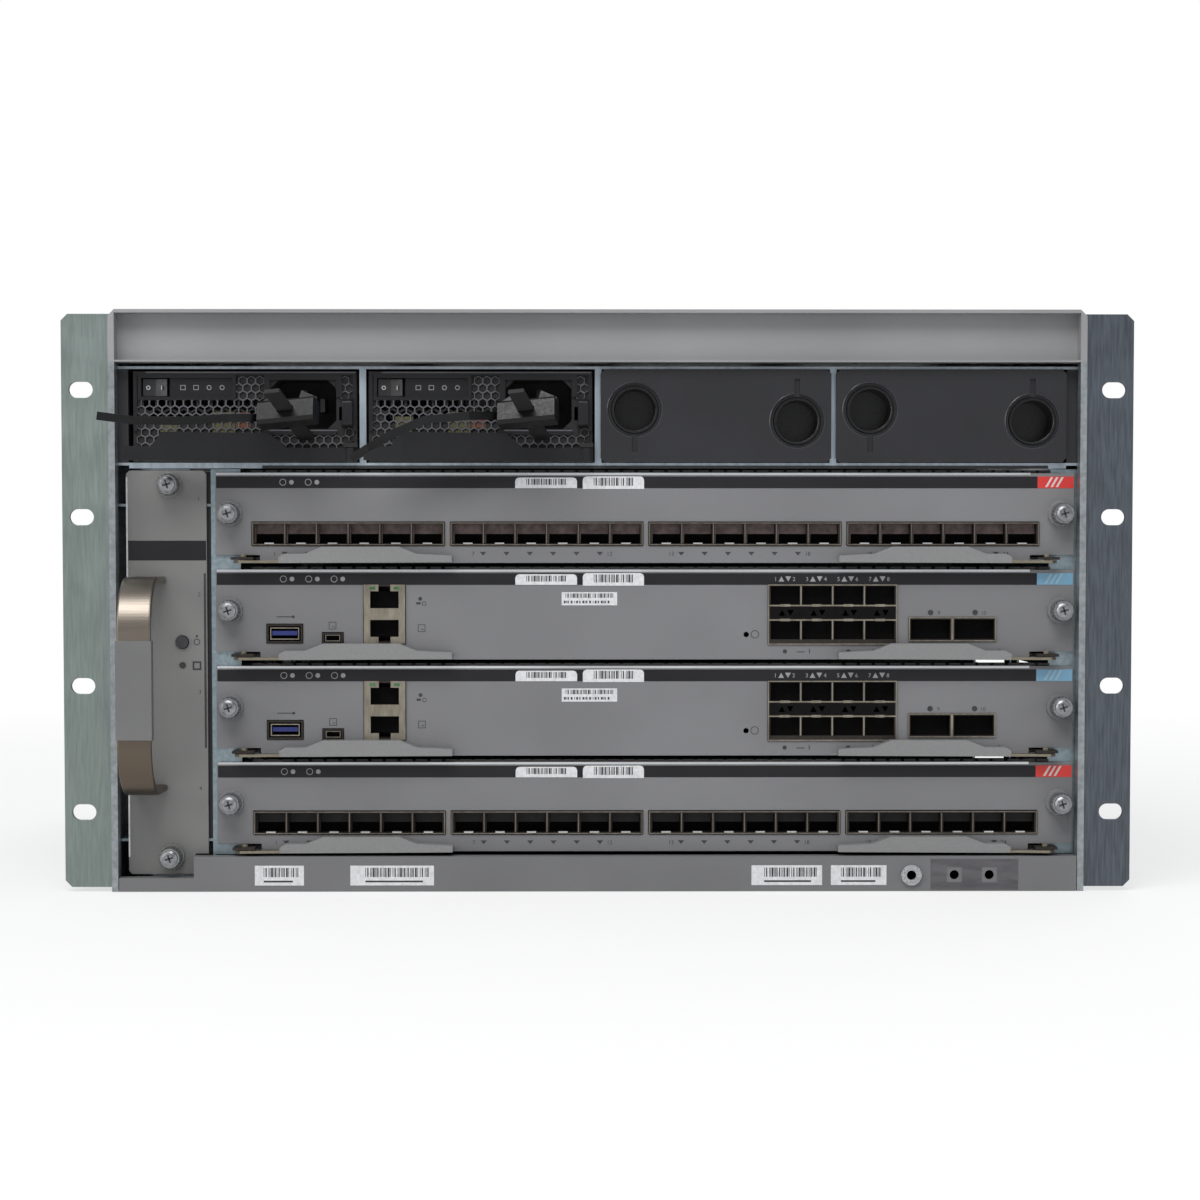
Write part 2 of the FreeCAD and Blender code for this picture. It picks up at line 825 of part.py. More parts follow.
def build_ear_screws():
    """Pan-head screws that hold the ears to the walls."""
    screws = []
    for side in (-1, 1):
        for place in range(int(size.ear_screw_count.value)):
            label = f"ear_screw_{'left' if side < 0 else 'right'}_{place + 1}"
            up = ear_screw_z + place * size.ear_screw_pitch
            body = make_body(label, 0, ear_screw_y, up)
            outer = half_width + size.ear_sheet
            places = [side * outer, side * (outer + size.ear_screw_head)]
            add(body, "side", min_size(places), max_size(places),
                ring(0, 0, size.ear_screw_radius, 8))
            places = [side * inner_half, side * outer]
            add(body, "side", min_size(places), max_size(places),
                ring(0, 0, size.ear_screw_shank, 6))
            screws.append(body)
    return gather("ear_screws", screws)


def min_size(places):
    return min(places, key=lambda place: place.value)


def max_size(places):
    return max(places, key=lambda place: place.value)


def bay_centre(bay):
    """The middle of a power supply bay, counted from the left."""
    return size.bay_pitch * (bay - 1.5)


backplane_front = face + size.module_sheet + size.card_depth + size.backplane_gap


def build_psu_cage():
    """Shelf, ceiling and three dividers that make the four power supply bays."""
    body = make_body("psu_cage")
    edge = inner_half - size.running_gap
    start = face - size.cage_proud
    end = backplane_front - size.running_gap
    shelf = rectangle(-edge, edge, size.shelf_top - size.divider_sheet, size.shelf_top)
    add(body, "front", start, end, shelf)
    trim = size.trim_inner - size.running_gap
    add(body, "front", start, start + size.hem_depth,
        rectangle(-trim, trim, size.shelf_top - size.shelf_hem, size.shelf_top))
    for divider in (-1, 0, 1):
        middle = divider * size.bay_pitch
        thin, thick = size.divider_sheet / 2, size.divider_hem / 2
        add(body, "front", start, end,
            rectangle(middle - thin, middle + thin, size.shelf_top, bay_top + size.divider_sheet))
        add(body, "front", start, start + size.hem_depth,
            rectangle(middle - thick, middle + thick, size.shelf_top, bay_top))
    ceiling = rectangle(-edge, edge, bay_top, bay_top + size.divider_sheet)
    add(body, "front", face, end, ceiling)
    return body


def build_bay_trims():
    """Dark filler at each end of the power supply row."""
    trims = []
    for side in (-1, 1):
        body = make_body(f"bay_trim_{'left' if side < 0 else 'right'}")
        outer = side * (inner_half - size.running_gap)
        inner = side * size.trim_inner
        block = rectangle(outer, inner, size.shelf_top, bay_top)
        add(body, "front", face, face + size.trim_depth, block)
        hollow = rectangle(side * (inner_half - size.running_gap - size.wall),
                           side * (size.trim_inner + size.wall),
                           size.shelf_top, bay_top - size.wall)
        cut(body, "front", face + size.wall, face + size.trim_depth, hollow)
        trims.append(body)
    return gather("bay_trims", trims)


half_card = size.card_width / 2
guide_inner = half_card + size.guide_side_gap
guide_outer = guide_inner + size.guide_sheet
board_half = half_card - size.board_inset
flange_start = face + size.module_sheet + size.running_gap
flange_end = flange_start + size.guide_sheet
guide_top = size.shelf_top - size.shelf_hem - size.running_gap
tray_frame_low = size.tray_bottom + size.tray_inset
tray_frame_high = size.tray_bottom + size.tray_height - size.tray_inset
screw_place = half_card - size.screw_inset


def build_partition(label, side):
    """Upright wall beside the cards, with a flange for their screws."""
    body = make_body(label, size.card_centre)
    end = backplane_front - size.running_gap
    wall = rectangle(side * guide_inner, side * guide_outer, size.wall, guide_top)
    add(body, "front", flange_start, end, wall)
    flange = rectangle(side * guide_inner, side * (board_half + size.flange_gap),
                       size.base_lip_high, guide_top)
    holes = [ring(side * screw_place, slot_bottom(card) + size.screw_rise,
                  size.shank_radius + size.running_gap, 8) for card in range(4)]
    add(body, "front", flange_start, flange_end, flange, *holes)
    low = size.slot_bottom + size.guide_sheet + size.guide_window_rim
    first = face + size.guide_window_first
    window = rectangle(first, first + size.guide_window_length,
                       low, low + size.slot_pitch - size.guide_window_rim * 2)
    edges = [side * guide_inner, side * guide_outer]
    opening = cut(body, "side", min_size(edges), max_size(edges), window)
    repeat(body, opening, "H_Axis", size.guide_window_pitch, size.guide_window_count,
           "V_Axis", size.slot_pitch, 4)
    return body


def build_card_rail(label, side, card):
    """Ledge that one edge of a card slides on, fixed to the partition."""
    body = make_body(label, size.card_centre, 0, slot_bottom(card))
    rail = rectangle(side * guide_inner, side * (guide_inner - size.ledge_reach),
                     0, size.guide_sheet)
    add(body, "front", flange_end, backplane_front - size.running_gap, rail)
    return body


def build_card_guide(label, side, extras=()):
    """Partition and its four card rails."""
    pieces = [build_partition(f"{label}_partition", side)]
    for card in range(4):
        pieces.append(build_card_rail(f"{label}_rail_{card + 1}", side, card))
    return gather(label, pieces + list(extras))


def build_tray_runners():
    """Shelves that the fan tray slides between, and the tabs for its screws."""
    end = backplane_front - size.running_gap
    outer = -(inner_half - size.running_gap)
    inner = size.card_centre - guide_outer
    under = tray_frame_low - size.running_gap
    over = tray_frame_high + size.running_gap
    runners = []
    for word, low in (("lower", under - size.guide_sheet), ("upper", over)):
        body = make_body(f"tray_runner_{word}", 0, 0, low)
        add(body, "front", flange_start, end, rectangle(outer, inner, 0, size.guide_sheet))
        runners.append(body)
    middle = size.tray_centre + size.fan_screw_place
    reach = size.tray_tab_width / 2
    tabs = (("lower", size.wall, under - size.guide_sheet, size.fan_screw_bottom),
            ("upper", over + size.guide_sheet, guide_top, size.fan_screw_top))
    for word, low, high, rise in tabs:
        body = make_body(f"tray_tab_{word}", middle)
        hole = ring(0, size.tray_bottom + rise, size.shank_radius + size.running_gap, 8)
        add(body, "front", flange_start, flange_end, rectangle(-reach, reach, low, high), hole)
        runners.append(body)
    return runners


def slot_bottom(card):
    """The lower edge of a card's faceplate, counted from the top slot."""
    return size.slot_bottom + size.slot_pitch * (3 - card)


def build_backplane():
    """Upright board behind the cards, with a socket for each card."""
    board = make_body("backplane_board")
    left = size.card_centre - board_half
    right = size.card_centre + board_half
    end = backplane_front + size.backplane_sheet
    plate = rectangle(left, right, size.base_lip_low, bay_top)
    reach = size.backplane_window / 2
    windows = [rectangle(bay_centre(bay) - reach, bay_centre(bay) + reach,
                         size.shelf_top + size.backplane_rim, bay_top - size.backplane_rim)
               for bay in (1, 2, 3)]
    add(board, "front", backplane_front, end, plate, *windows)
    sockets = [board]
    start = backplane_front - size.backplane_gap + size.running_gap
    for card in range(4):
        socket = make_body(f"backplane_socket_{card + 1}")
        low = slot_bottom(card) + size.plug_rise
        left = size.card_centre + size.plug_left
        block = rectangle(left, left + size.plug_width, low, low + size.plug_height)
        add(socket, "front", start, backplane_front, block)
        sockets.append(socket)
    return gather("backplane", sockets)


# --- cards -----------------------------------------------------------------


def build_faceplate(label, card, windows, holes):
    """Folded front of a card: notched lower corners and returned edges."""
    body = make_body(label, size.card_centre, face, slot_bottom(card))
    skin = size.module_sheet
    high = size.card_height
    notch = half_card - size.notch_width
    rise = size.notch_height
    outline = [(-notch, 0), (notch, 0), (notch, rise), (half_card, rise), (half_card, high)]
    outline += [(-half_card, high), (-half_card, rise), (-notch, rise)]
    add(body, "front", 0, skin, outline)
    cut(body, "front", 0, skin, *windows)
    round_holes = list(holes)
    for side in (-1, 1):
        collar = ring(side * screw_place, size.screw_rise, size.collar_radius)
        add(body, "front", -size.collar_length, 0, collar)
        round_holes.append(ring(side * screw_place, size.screw_rise, size.screw_hole, 8))
    cut(body, "front", -size.collar_length, skin, *round_holes)
    brim = rectangle(-board_half, board_half, high - skin, high)
    add(body, "front", skin, size.top_return, brim)
    return body


def build_carrier(label, card):
    """Card carrier: a shallow pan with rims and a tongue for each lever."""
    body = make_body(label, size.card_centre, face, slot_bottom(card))
    skin = size.module_sheet
    low = size.guide_sheet + size.running_gap
    start = skin
    end = skin + size.card_depth
    outline = [(-board_half, low + size.tray_rim), (-board_half, low), (board_half, low)]
    outline += [(board_half, low + size.tray_rim), (board_half - skin, low + size.tray_rim)]
    outline += [(board_half - skin, low + skin), (skin - board_half, low + skin)]
    outline += [(skin - board_half, low + size.tray_rim)]
    add(body, "front", start, end, outline)
    pivot = half_card - size.pivot_inset
    reach = size.pivot_forward + size.eye_radius
    for side in (-1, 1):
        near = side * (pivot - size.tongue_half)
        far = side * (pivot + size.tongue_half)
        tongue = [(near, start + skin), (side * board_half, start)]
        tongue += [(far, start - size.running_gap), (far, -reach), (near, -reach)]
        add(body, "top", low, low + skin, tongue)
        hole = Disc(side * pivot, -size.pivot_forward, size.pivot_pin + size.pin_fit)
        cut(body, "top", low, low + skin, hole)
    return body


def build_circuit_board(label, card):
    """The card's printed board, on the pan's spacers."""
    body = make_body(label, size.card_centre, face, slot_bottom(card))
    low = size.guide_sheet + size.running_gap + size.module_sheet + size.board_rise
    edge = board_half - size.module_sheet - size.running_gap
    start = size.module_sheet + size.board_setback
    end = size.module_sheet + size.card_depth
    add(body, "front", start, end, rectangle(-edge, edge, low, low + size.board_sheet))
    first = start + size.spacer_first
    spacer = add(body, "front", first, first + size.spacer_size,
                 rectangle(size.spacer_place, size.spacer_place + size.spacer_size,
                           low - size.board_rise, low))
    repeat(body, spacer, "H_Axis", size.spacer_pitch, 4)
    add(body, "front", end - size.plug_depth, end,
        rectangle(size.plug_left, size.plug_left + size.plug_width,
                  low + size.board_sheet, size.plug_rise + size.plug_height))
    return body


def build_gasket(label, card):
    """Conductive finger strip that lies on the faceplate's top return."""
    body = make_body(label, size.card_centre, face, slot_bottom(card))
    edge = board_half - size.running_gap
    low = size.card_height
    high = low + size.gasket_rise
    slope = size.gasket_slope
    profile = [(size.module_sheet, low), (size.top_return, low)]
    profile += [(size.top_return - slope, high), (size.module_sheet + slope, high)]
    add(body, "side", -edge, edge, profile)
    return body


def build_cage(label, card, left, width, bottom, height, ports):
    """A port cage of bent sheet, with its openings through the faceplate."""
    body = make_body(label, size.card_centre, face, slot_bottom(card))
    block = rectangle(left, left + width, bottom, bottom + height)
    add(body, "front", -size.cage_proud, size.port_depth + size.cage_wall, block)
    for outline, depth, pitch, count in ports:
        opening = cut(body, "front", -size.cage_proud, depth, outline)
        if count > 1:
            repeat(body, opening, "H_Axis", pitch, count)
    return body


def window_around(left, width, bottom, height):
    gap = size.window_gap
    return rectangle(left - gap, left + width + gap, bottom - gap, bottom + height + gap)


def build_line_card(card):
    """Card with four gangs of six small-form-factor ports."""
    name = f"line_card_{card + 1}"
    windows = []
    inner = [build_carrier(f"{name}_carrier", card), build_circuit_board(f"{name}_pcb", card)]
    inner.append(build_gasket(f"{name}_gasket", card))
    for gang in range(4):
        left = size.gang_first + gang * size.gang_pitch
        windows.append(window_around(left, size.gang_width, size.gang_bottom, size.gang_height))
        margin = (size.gang_width - size.port_pitch * 5 - size.port_width) / 2
        low = size.gang_bottom + (size.gang_height - size.port_height) / 2
        port = rectangle(left + margin, left + margin + size.port_width,
                         low, low + size.port_height)
        inner.append(build_cage(f"{name}_cage_{gang + 1}", card, left, size.gang_width,
                                size.gang_bottom, size.gang_height,
                                [(port, size.port_depth, size.port_pitch, 6)]))
    nodes = [build_faceplate(f"{name}_faceplate", card, windows, [])]
    nodes.append(gather(f"{name}_board", inner))
    return nodes + build_card_hardware(name, card)


def build_supervisor(card):
    """Control card with stacked ports, network jacks and a heat sink."""
    name = f"supervisor_{card + 1}"
    inner = [build_carrier(f"{name}_carrier", card), build_circuit_board(f"{name}_pcb", card)]
    inner.append(build_gasket(f"{name}_gasket", card))
    blocks = {
        "network_jacks": (size.network_jack_left, size.network_jack_width,
                          size.network_jack_bottom, size.network_jack_height),
        "usb_socket": (size.usb_left, size.usb_width, size.usb_bottom, size.usb_height),
        "console_socket": (size.console_left, size.console_width,
                           size.console_bottom, size.console_height),
        "port_stack": (size.stack_left, size.stack_width, size.stack_bottom, size.stack_height),
        "uplink_cage": (size.uplink_left, size.uplink_width,
                        size.uplink_bottom, size.uplink_height),
    }
    ports = {
        "network_jacks": network_jack_openings(),
        "usb_socket": [(inset(blocks["usb_socket"], size.cage_wall), size.usb_width, 0, 1)],
        "console_socket": [(inset(blocks["console_socket"], size.cage_wall),
                            size.console_width, 0, 1)],
        "port_stack": port_stack_openings(),
        "uplink_cage": uplink_openings(),
    }
    for part, block in blocks.items():
        inner.append(build_cage(f"{name}_{part}", card, *block, ports[part]))
    inner.append(build_heat_sink(f"{name}_heat_sink", card))
    windows = [window_around(*block) for block in blocks.values()]
    reset = ring(size.reset_place, size.reset_rise, size.reset_radius, 8)
    nodes = [build_faceplate(f"{name}_faceplate", card, windows, [reset])]
    nodes.append(gather(f"{name}_board", inner))
    return nodes + build_card_hardware(name, card)


def inset(block, wall):
    left, width, bottom, height = block
    return rectangle(left + wall, left + width - wall, bottom + wall, bottom + height - wall)


def network_jack_openings():
    """Two stacked eight-way jacks, each with the step of its latch."""
    middle = size.network_jack_left + size.network_jack_width / 2
    half = size.network_jack_opening / 2
    tongue = size.network_jack_latch / 2
    step = size.network_jack_step
    low = size.network_jack_bottom + size.cage_wall + step
    high = size.network_jack_bottom + size.network_jack_height - size.cage_wall - step
    openings = []
    for edge, inward in ((low, 1), (high, -1)):
        inner = edge + inward * size.network_jack_rise
        outline = [(middle - half, edge), (middle - tongue, edge)]
        outline += [(middle - tongue, edge - inward * step)]
        outline += [(middle + tongue, edge - inward * step), (middle + tongue, edge)]
        outline += [(middle + half, edge), (middle + half, inner), (middle - half, inner)]
        openings.append((outline, size.network_jack_depth, 0, 1))
    return openings


def port_stack_openings():
    """Two rows of four ports."""
    openings = []
    margin = (size.stack_width - size.stack_port_pitch * 3 - size.port_width) / 2
    for row in (size.stack_lower_row, size.stack_upper_row):
        left = size.stack_left + margin
        low = size.stack_bottom + row
        outline = rectangle(left, left + size.port_width, low, low + size.port_height)
        openings.append((outline, size.port_depth, size.stack_port_pitch, 4))
    return openings


def uplink_openings():
    """Two wide ports side by side."""
    low = size.uplink_bottom + size.cage_wall
    high = size.uplink_bottom + size.uplink_height - size.cage_wall
    left = size.uplink_left + size.cage_wall
    outline = rectangle(left, left + size.uplink_port, low, high)
    pitch = size.uplink_width - size.cage_wall * 2 - size.uplink_port
    return [(outline, size.port_depth, pitch, 2)]


def build_heat_sink(label, card):
    """Finned sink on the supervisor's switching chip."""
    body = make_body(label, size.card_centre, face, slot_bottom(card))
    low = (size.guide_sheet + size.running_gap + size.module_sheet + size.board_rise
           + size.board_sheet)
    left = -size.sink_width / 2
    start = size.sink_place
    deck = low + size.sink_base
    add(body, "front", start, start + size.sink_depth,
        rectangle(left, left + size.sink_width, low, deck))
    fin = add(body, "front", start, start + size.sink_depth,
              rectangle(left, left + size.fin_sheet, deck, low + size.sink_height))
    pitch = (size.sink_width - size.fin_sheet) / (size.sink_fins - 1)
    repeat(body, fin, "H_Axis", pitch, size.sink_fins)
    return body


def build_card_hardware(name, card):
    """Two ejector levers and two captive screws."""
    nodes = []
    for word, side in (("left", -1), ("right", 1)):
        nodes.append(build_lever(f"{name}_lever_{word}", card, side))
    for word, side in (("left", -1), ("right", 1)):
        across = size.card_centre + side * screw_place
        nodes.append(build_captive_screw(f"{name}_screw_{word}", across,
                                         slot_bottom(card) + size.screw_rise))
    return nodes


def build_lever(label, card, side):
    """Ejector lever: flat steel arm with a moulded grip, on a rivet."""
    pivot = side * (half_card - size.pivot_inset)
    body = make_body(label, size.card_centre + pivot, face - size.pivot_forward,
                     slot_bottom(card))
    arm_sheet = size.guide_sheet
    eye = size.eye_radius
    inward = -side
    add(body, "top", 0, arm_sheet, ring(0, 0, eye, 8))
    back = size.pivot_forward - size.arm_setback
    near, far = back - size.lever_depth + size.arm_setback, back - size.arm_setback
    arm = [(0, -eye), (inward * size.arm_length, near)]
    arm += [(inward * size.arm_length, far), (0, size.eye_waist)]
    add(body, "top", 0, arm_sheet, arm)
    start = size.grip_start
    end = size.lever_length - eye
    thick, raised = size.lever_thick, size.lever_thick + size.lever_raise
    grip = [(inward * start, 0), (inward * end, size.grip_tip_low)]
    grip += [(inward * end, size.grip_tip_high)]
    grip += [(inward * (end - size.grip_tail_step), thick)]
    grip += [(inward * (end - size.grip_tail), raised)]
    grip += [(inward * (start + size.grip_ramp_end), raised)]
    grip += [(inward * (start + size.grip_ramp_start), thick)]
    grip += [(inward * (start + size.grip_step), thick)]
    grip += [(inward * start, thick - size.grip_nose)]
    add(body, "front", back - size.lever_depth, back, grip)
    pin_top = arm_sheet + size.running_gap * 2 + size.module_sheet + size.rivet_head
    add(body, "top", arm_sheet, pin_top, pin(0, 0, size.pivot_pin))
    return body


def knob_outline():
    """A fluted rim: teeth around a circle."""
    points = []
    teeth = int(size.knob_teeth.value)
    for index in range(teeth * 2):
        angle = math.pi * index / teeth
        reach = size.knob_radius if index % 2 == 0 else size.knob_radius - size.knob_flute
        points.append((reach * math.cos(angle), reach * math.sin(angle)))
    return points


def build_captive_screw(label, across, up):
    """Thumbscrew: a fluted knob and its shank."""
    body = make_body(label, across, face, up)
    start = -size.collar_length - size.running_gap
    tip = start - size.knob_length
    add(body, "front", tip, start, knob_outline())
    add(body, "front", start, size.shank_reach, pin(0, 0, size.shank_radius))
    return body


# --- fan tray --------------------------------------------------------------

tray_half = size.tray_width / 2
frame_left = -tray_half + size.tray_left_gap
frame_right = tray_half - size.tray_right_gap
frame_low = size.tray_inset
frame_high = size.tray_height - size.tray_inset
fan_axis = size.tray_height / 2


def build_fan_tray_faceplate():
    """Tall narrow plate with a stepped lower corner and returned side."""
    body = make_body("fan_tray_faceplate", size.tray_centre, face, size.tray_bottom)
    step = tray_half - size.tray_step_width
    high = size.tray_height
    corner = size.tray_corner
    outline = [(corner - tray_half, 0), (step, 0), (step, size.tray_step_height)]
    outline += [(tray_half, size.tray_step_height), (tray_half, high - corner)]
    outline += [(tray_half - corner, high), (corner - tray_half, high)]
    outline += [(-tray_half, high - corner), (-tray_half, corner)]
    add(body, "front", 0, size.module_sheet, outline)
    holes = [ring(size.beacon_place, size.beacon_rise, size.beacon_radius + size.beacon_fit)]
    collars = []
    for rise in (size.fan_screw_bottom, size.fan_screw_top):
        collars.append(ring(size.fan_screw_place, rise, size.collar_radius))
        holes.append(ring(size.fan_screw_place, rise, size.screw_hole, 8))
    for collar in collars:
        add(body, "front", -size.collar_length, 0, collar)
    cut(body, "front", -size.collar_length, size.module_sheet, *holes)
    inset_low = frame_low + size.tray_tab_inset
    for place in (frame_left, frame_right - size.tray_side):
        tab = rectangle(place, place + size.tray_side, inset_low, frame_high - size.tray_tab_inset)
        add(body, "front", size.module_sheet, size.module_sheet + size.tray_joint, tab)
    return body


def build_fan_tray_frame():
    """Folded tray with three fan openings, each with a spider for its motor."""
    body = make_body("fan_tray_frame", size.tray_centre, face, size.tray_bottom)
    skin = size.tray_side
    start = size.module_sheet + size.tray_joint
    end = start + size.tray_depth
    outline = [(frame_left, frame_low), (frame_right, frame_low), (frame_right, frame_high)]
    outline += [(frame_left, frame_high), (frame_left, frame_high - skin)]
    outline += [(frame_right - skin, frame_high - skin), (frame_right - skin, frame_low + skin)]
    outline += [(frame_left, frame_low + skin)]
    add(body, "front", start, end, outline)
    plate = rectangle(frame_left, frame_right, frame_low, frame_high)
    add(body, "front", end - skin, end, plate)
    opening = cut(body, "side", frame_right - skin, frame_right,
                  ring(size.fan_first, fan_axis, size.fan_opening))
    repeat(body, opening, "H_Axis", size.fan_pitch, size.fan_count)
    half = size.strut_width / 2
    reach = size.fan_opening + size.tray_side
    bars = [rectangle(size.fan_first - reach, size.fan_first + reach,
                      fan_axis - half, fan_axis + half)]
    bars.append(rectangle(size.fan_first - half, size.fan_first + half,
                          fan_axis - reach, fan_axis + reach))
    for bar in bars:
        strut = add(body, "side", frame_right - skin, frame_right, bar)
        repeat(body, strut, "H_Axis", size.fan_pitch, size.fan_count)
    disc = add(body, "side", frame_right - skin, frame_right,
               ring(size.fan_first, fan_axis, size.hub_radius))
    repeat(body, disc, "H_Axis", size.fan_pitch, size.fan_count)
    bore = cut(body, "side", frame_right - skin, frame_right,
               Disc(size.fan_first, fan_axis, size.fan_pin + size.pin_fit))
    repeat(body, bore, "H_Axis", size.fan_pitch, size.fan_count)
    return body


def build_fan_rotor(place):
    """Axial rotor: closed hub, swept blades and a shaft in the spider's bore."""
    deep = face + size.fan_first + place * size.fan_pitch
    body = make_body(f"fan_rotor_{place + 1}", size.tray_centre, deep,
                     size.tray_bottom + fan_axis)
    end = frame_right - size.tray_side - size.blade_margin
    start = end - size.hub_length
    add(body, "side", start, end, ring(0, 0, size.hub_radius, 8))
    add(body, "side", end, frame_right, pin(0, 0, size.fan_pin))
    middle = (start + end) / 2
    reach = size.hub_length / 2 - size.blade_margin
    lean, camber = size.blade_lean, size.blade_camber
    thick = size.blade_sheet
    section = [(middle - reach, -lean), (middle, -camber), (middle + reach, lean)]
    section += [(middle + reach - thick, lean), (middle - thick, thick - camber)]
    section += [(middle - reach, thick - lean)]
    blade = add(body, "top", size.hub_radius - size.blade_root, size.fan_radius, section)
    wheel = body.newObject("PartDesign::PolarPattern", "rotor_blades")
    wheel.Originals = [blade]
    axis = next(item for item in body.Origin.OriginFeatures if item.Role == "X_Axis")
    wheel.Axis = (axis, [""])
    wheel.Angle = 360
    wheel.setExpression("Occurrences", size.blade_count.text)
    body.Tip = wheel
    return body


def build_fan_tray_handle():
    """Bent metal strap with a foot at each end."""
    across = size.tray_centre + size.handle_place
    body = make_body("fan_tray_handle", across, face, size.tray_bottom)
    half = size.handle_width / 2
    thick = size.handle_sheet
    reach = -size.handle_reach
    low, high = size.handle_bottom, size.handle_top
    bend, inner = size.handle_bend, size.handle_bend - thick
    outline = [(0, low), (reach, low, bend), (reach, high, bend), (0, high)]
    outline += [(0, high - thick), (reach + thick, high - thick, inner)]
    outline += [(reach + thick, low + thick, inner), (0, low + thick)]
    add(body, "side", -half, half, outline)
    return body


def build_fan_tray_grip():
    """Moulded sleeve around the middle of the strap."""
    across = size.tray_centre + size.handle_place
    body = make_body("fan_tray_grip", across, face, size.tray_bottom)
    half = size.handle_width / 2 + size.grip_wall
    low = size.grip_centre - size.grip_length / 2
    high = low + size.grip_length
    outer = -size.handle_reach - size.grip_proud
    skin = rectangle(outer, outer + size.grip_thick, low, high)
    add(body, "side", -half, half, skin)
    gap = size.grip_fit
    strap_half = size.handle_width / 2 + gap
    core = rectangle(-size.handle_reach - gap, -size.handle_reach + size.handle_sheet + gap,
                     low, high)
    cut(body, "side", -strap_half, strap_half, core)
    return body


def build_beacon_button():
    """Round push button beside the handle."""
    body = make_body("fan_tray_beacon_button", size.tray_centre + size.beacon_place, face,
                     size.tray_bottom + size.beacon_rise)
    start = size.module_sheet + size.running_gap
    end = start + size.beacon_travel
    add(body, "front", -size.beacon_proud, end, ring(0, 0, size.beacon_radius))
    collar = ring(0, 0, size.beacon_radius + size.beacon_collar)
    add(body, "front", start, end, collar)
    return body


def build_fan_tray():
    nodes = [build_fan_tray_faceplate(), build_fan_tray_frame(), build_fan_tray_handle()]
    nodes.append(build_fan_tray_grip())
    nodes.append(build_beacon_button())
    across = size.tray_centre + size.fan_screw_place
    for word, rise in (("top", size.fan_screw_top), ("bottom", size.fan_screw_bottom)):
        up = size.tray_bottom + rise
        nodes.append(build_captive_screw(f"fan_tray_screw_{word}", across, up))
    for place in range(int(size.fan_count.value)):
        nodes.append(build_fan_rotor(place))
    return nodes


# --- power supplies --------------------------------------------------------

supply_half = size.supply_width / 2
supply_low = size.shelf_top + size.running_gap
panel_low = size.supply_height - size.panel_top - size.panel_height
inlet_low = size.supply_height - size.inlet_top - size.inlet_height
inlet_start = size.inlet_left - supply_half


def build_supply_case(label, bay):
    """Sheet case with a perforated face, switch recess and inlet pocket."""
    body = make_body(label, bay_centre(bay), face, supply_low)
    high = size.supply_height
    skin = size.supply_wall
    plate = size.supply_face
    outer = rectangle(-supply_half, supply_half, 0, high)
    bore = rectangle(skin - supply_half, supply_half - skin, skin, high - skin)
    add(body, "front", plate, size.supply_depth, outer, bore)
    add(body, "front", 0, plate, outer)
    add(body, "front", size.supply_depth - skin, size.supply_depth, outer)
    cut(body, "front", size.supply_depth - skin, size.supply_depth,
        rectangle(size.exit_left - supply_half, size.exit_right, size.exit_rim,
                  high - size.exit_rim))
    wall = size.inlet_wall
    left, right = inlet_start, inlet_start + size.inlet_width
    low, top = inlet_low, inlet_low + size.inlet_height
    add(body, "front", plate, size.inlet_depth + wall,
        rectangle(left - wall, right + wall, low - wall, top + wall))
    cut(body, "front", 0, size.inlet_depth,
        clipped(left, right, low, top, size.inlet_corner))
    panel = size.panel_left - supply_half
    switch_back = size.switch_depth + skin
    add(body, "front", plate, switch_back,
        rectangle(panel - skin, panel + size.switch_width + skin,
                  panel_low - skin, panel_low + size.panel_height + skin))
    cut(body, "front", 0, size.panel_depth,
        rectangle(panel, panel + size.panel_width, panel_low, panel_low + size.panel_height))
    cut(body, "front", 0, size.switch_depth,
        rectangle(panel, panel + size.switch_width, panel_low, panel_low + size.panel_height))
    add_honeycomb(body)
    stem = size.latch_stem
    latch = size.latch_left - supply_half + size.latch_width / 2
    slot_left = latch - stem / 2 - size.latch_travel - size.running_gap
    slot_right = latch + stem / 2 + size.running_gap
    rise = size.latch_bottom + size.latch_height / 2
    half_slot = size.latch_root / 2 + size.running_gap
    cut(body, "front", 0, plate,
        rectangle(slot_left, slot_right, rise - half_slot, rise + half_slot))
    for across, up in ((-size.pin_pitch, 0), (0, size.pin_rise), (size.pin_pitch, 0)):
        middle = inlet_start + size.inlet_width / 2 + across - size.pin_sheet / 2
        bottom = inlet_low + size.inlet_height / 2 + up - size.pin_height / 2
        add(body, "front", size.inlet_depth - size.pin_length, size.inlet_depth,
            rectangle(middle, middle + size.pin_sheet, bottom, bottom + size.pin_height))
    pivot = size.bar_pivot
    ear_low = size.bar_height + size.running_gap
    ear = rectangle(pivot - size.bar_eye, pivot + size.bar_eye,
                    -size.bar_pivot_forward - size.bar_eye, 0)
    add(body, "top", ear_low, ear_low + size.supply_face, ear)
    cut(body, "top", ear_low, ear_low + size.supply_face,
        Disc(pivot, -size.bar_pivot_forward, size.bar_pin + size.pin_fit))
    return body


def add_honeycomb(body):
    """Rows of hexagonal cells, each row shifted by half a cell."""
    row_pitch = size.cell_pitch * math.sqrt(3) / 2
    reach = size.cell_width / math.sqrt(3)
    for row, (shift, count) in enumerate(((0, 9), (0.5, 8))):
        across = size.cell_left + size.cell_pitch * shift - supply_half
        up = size.supply_height - size.cell_top - row_pitch * row
        cell = []
        for corner in range(6):
            angle = math.pi * (corner + 0.5) / 3
            cell.append((across + reach * math.cos(angle), up + reach * math.sin(angle)))
        opening = cut(body, "front", 0, size.supply_face, cell)
        repeat(body, opening, "H_Axis", size.cell_pitch, count)


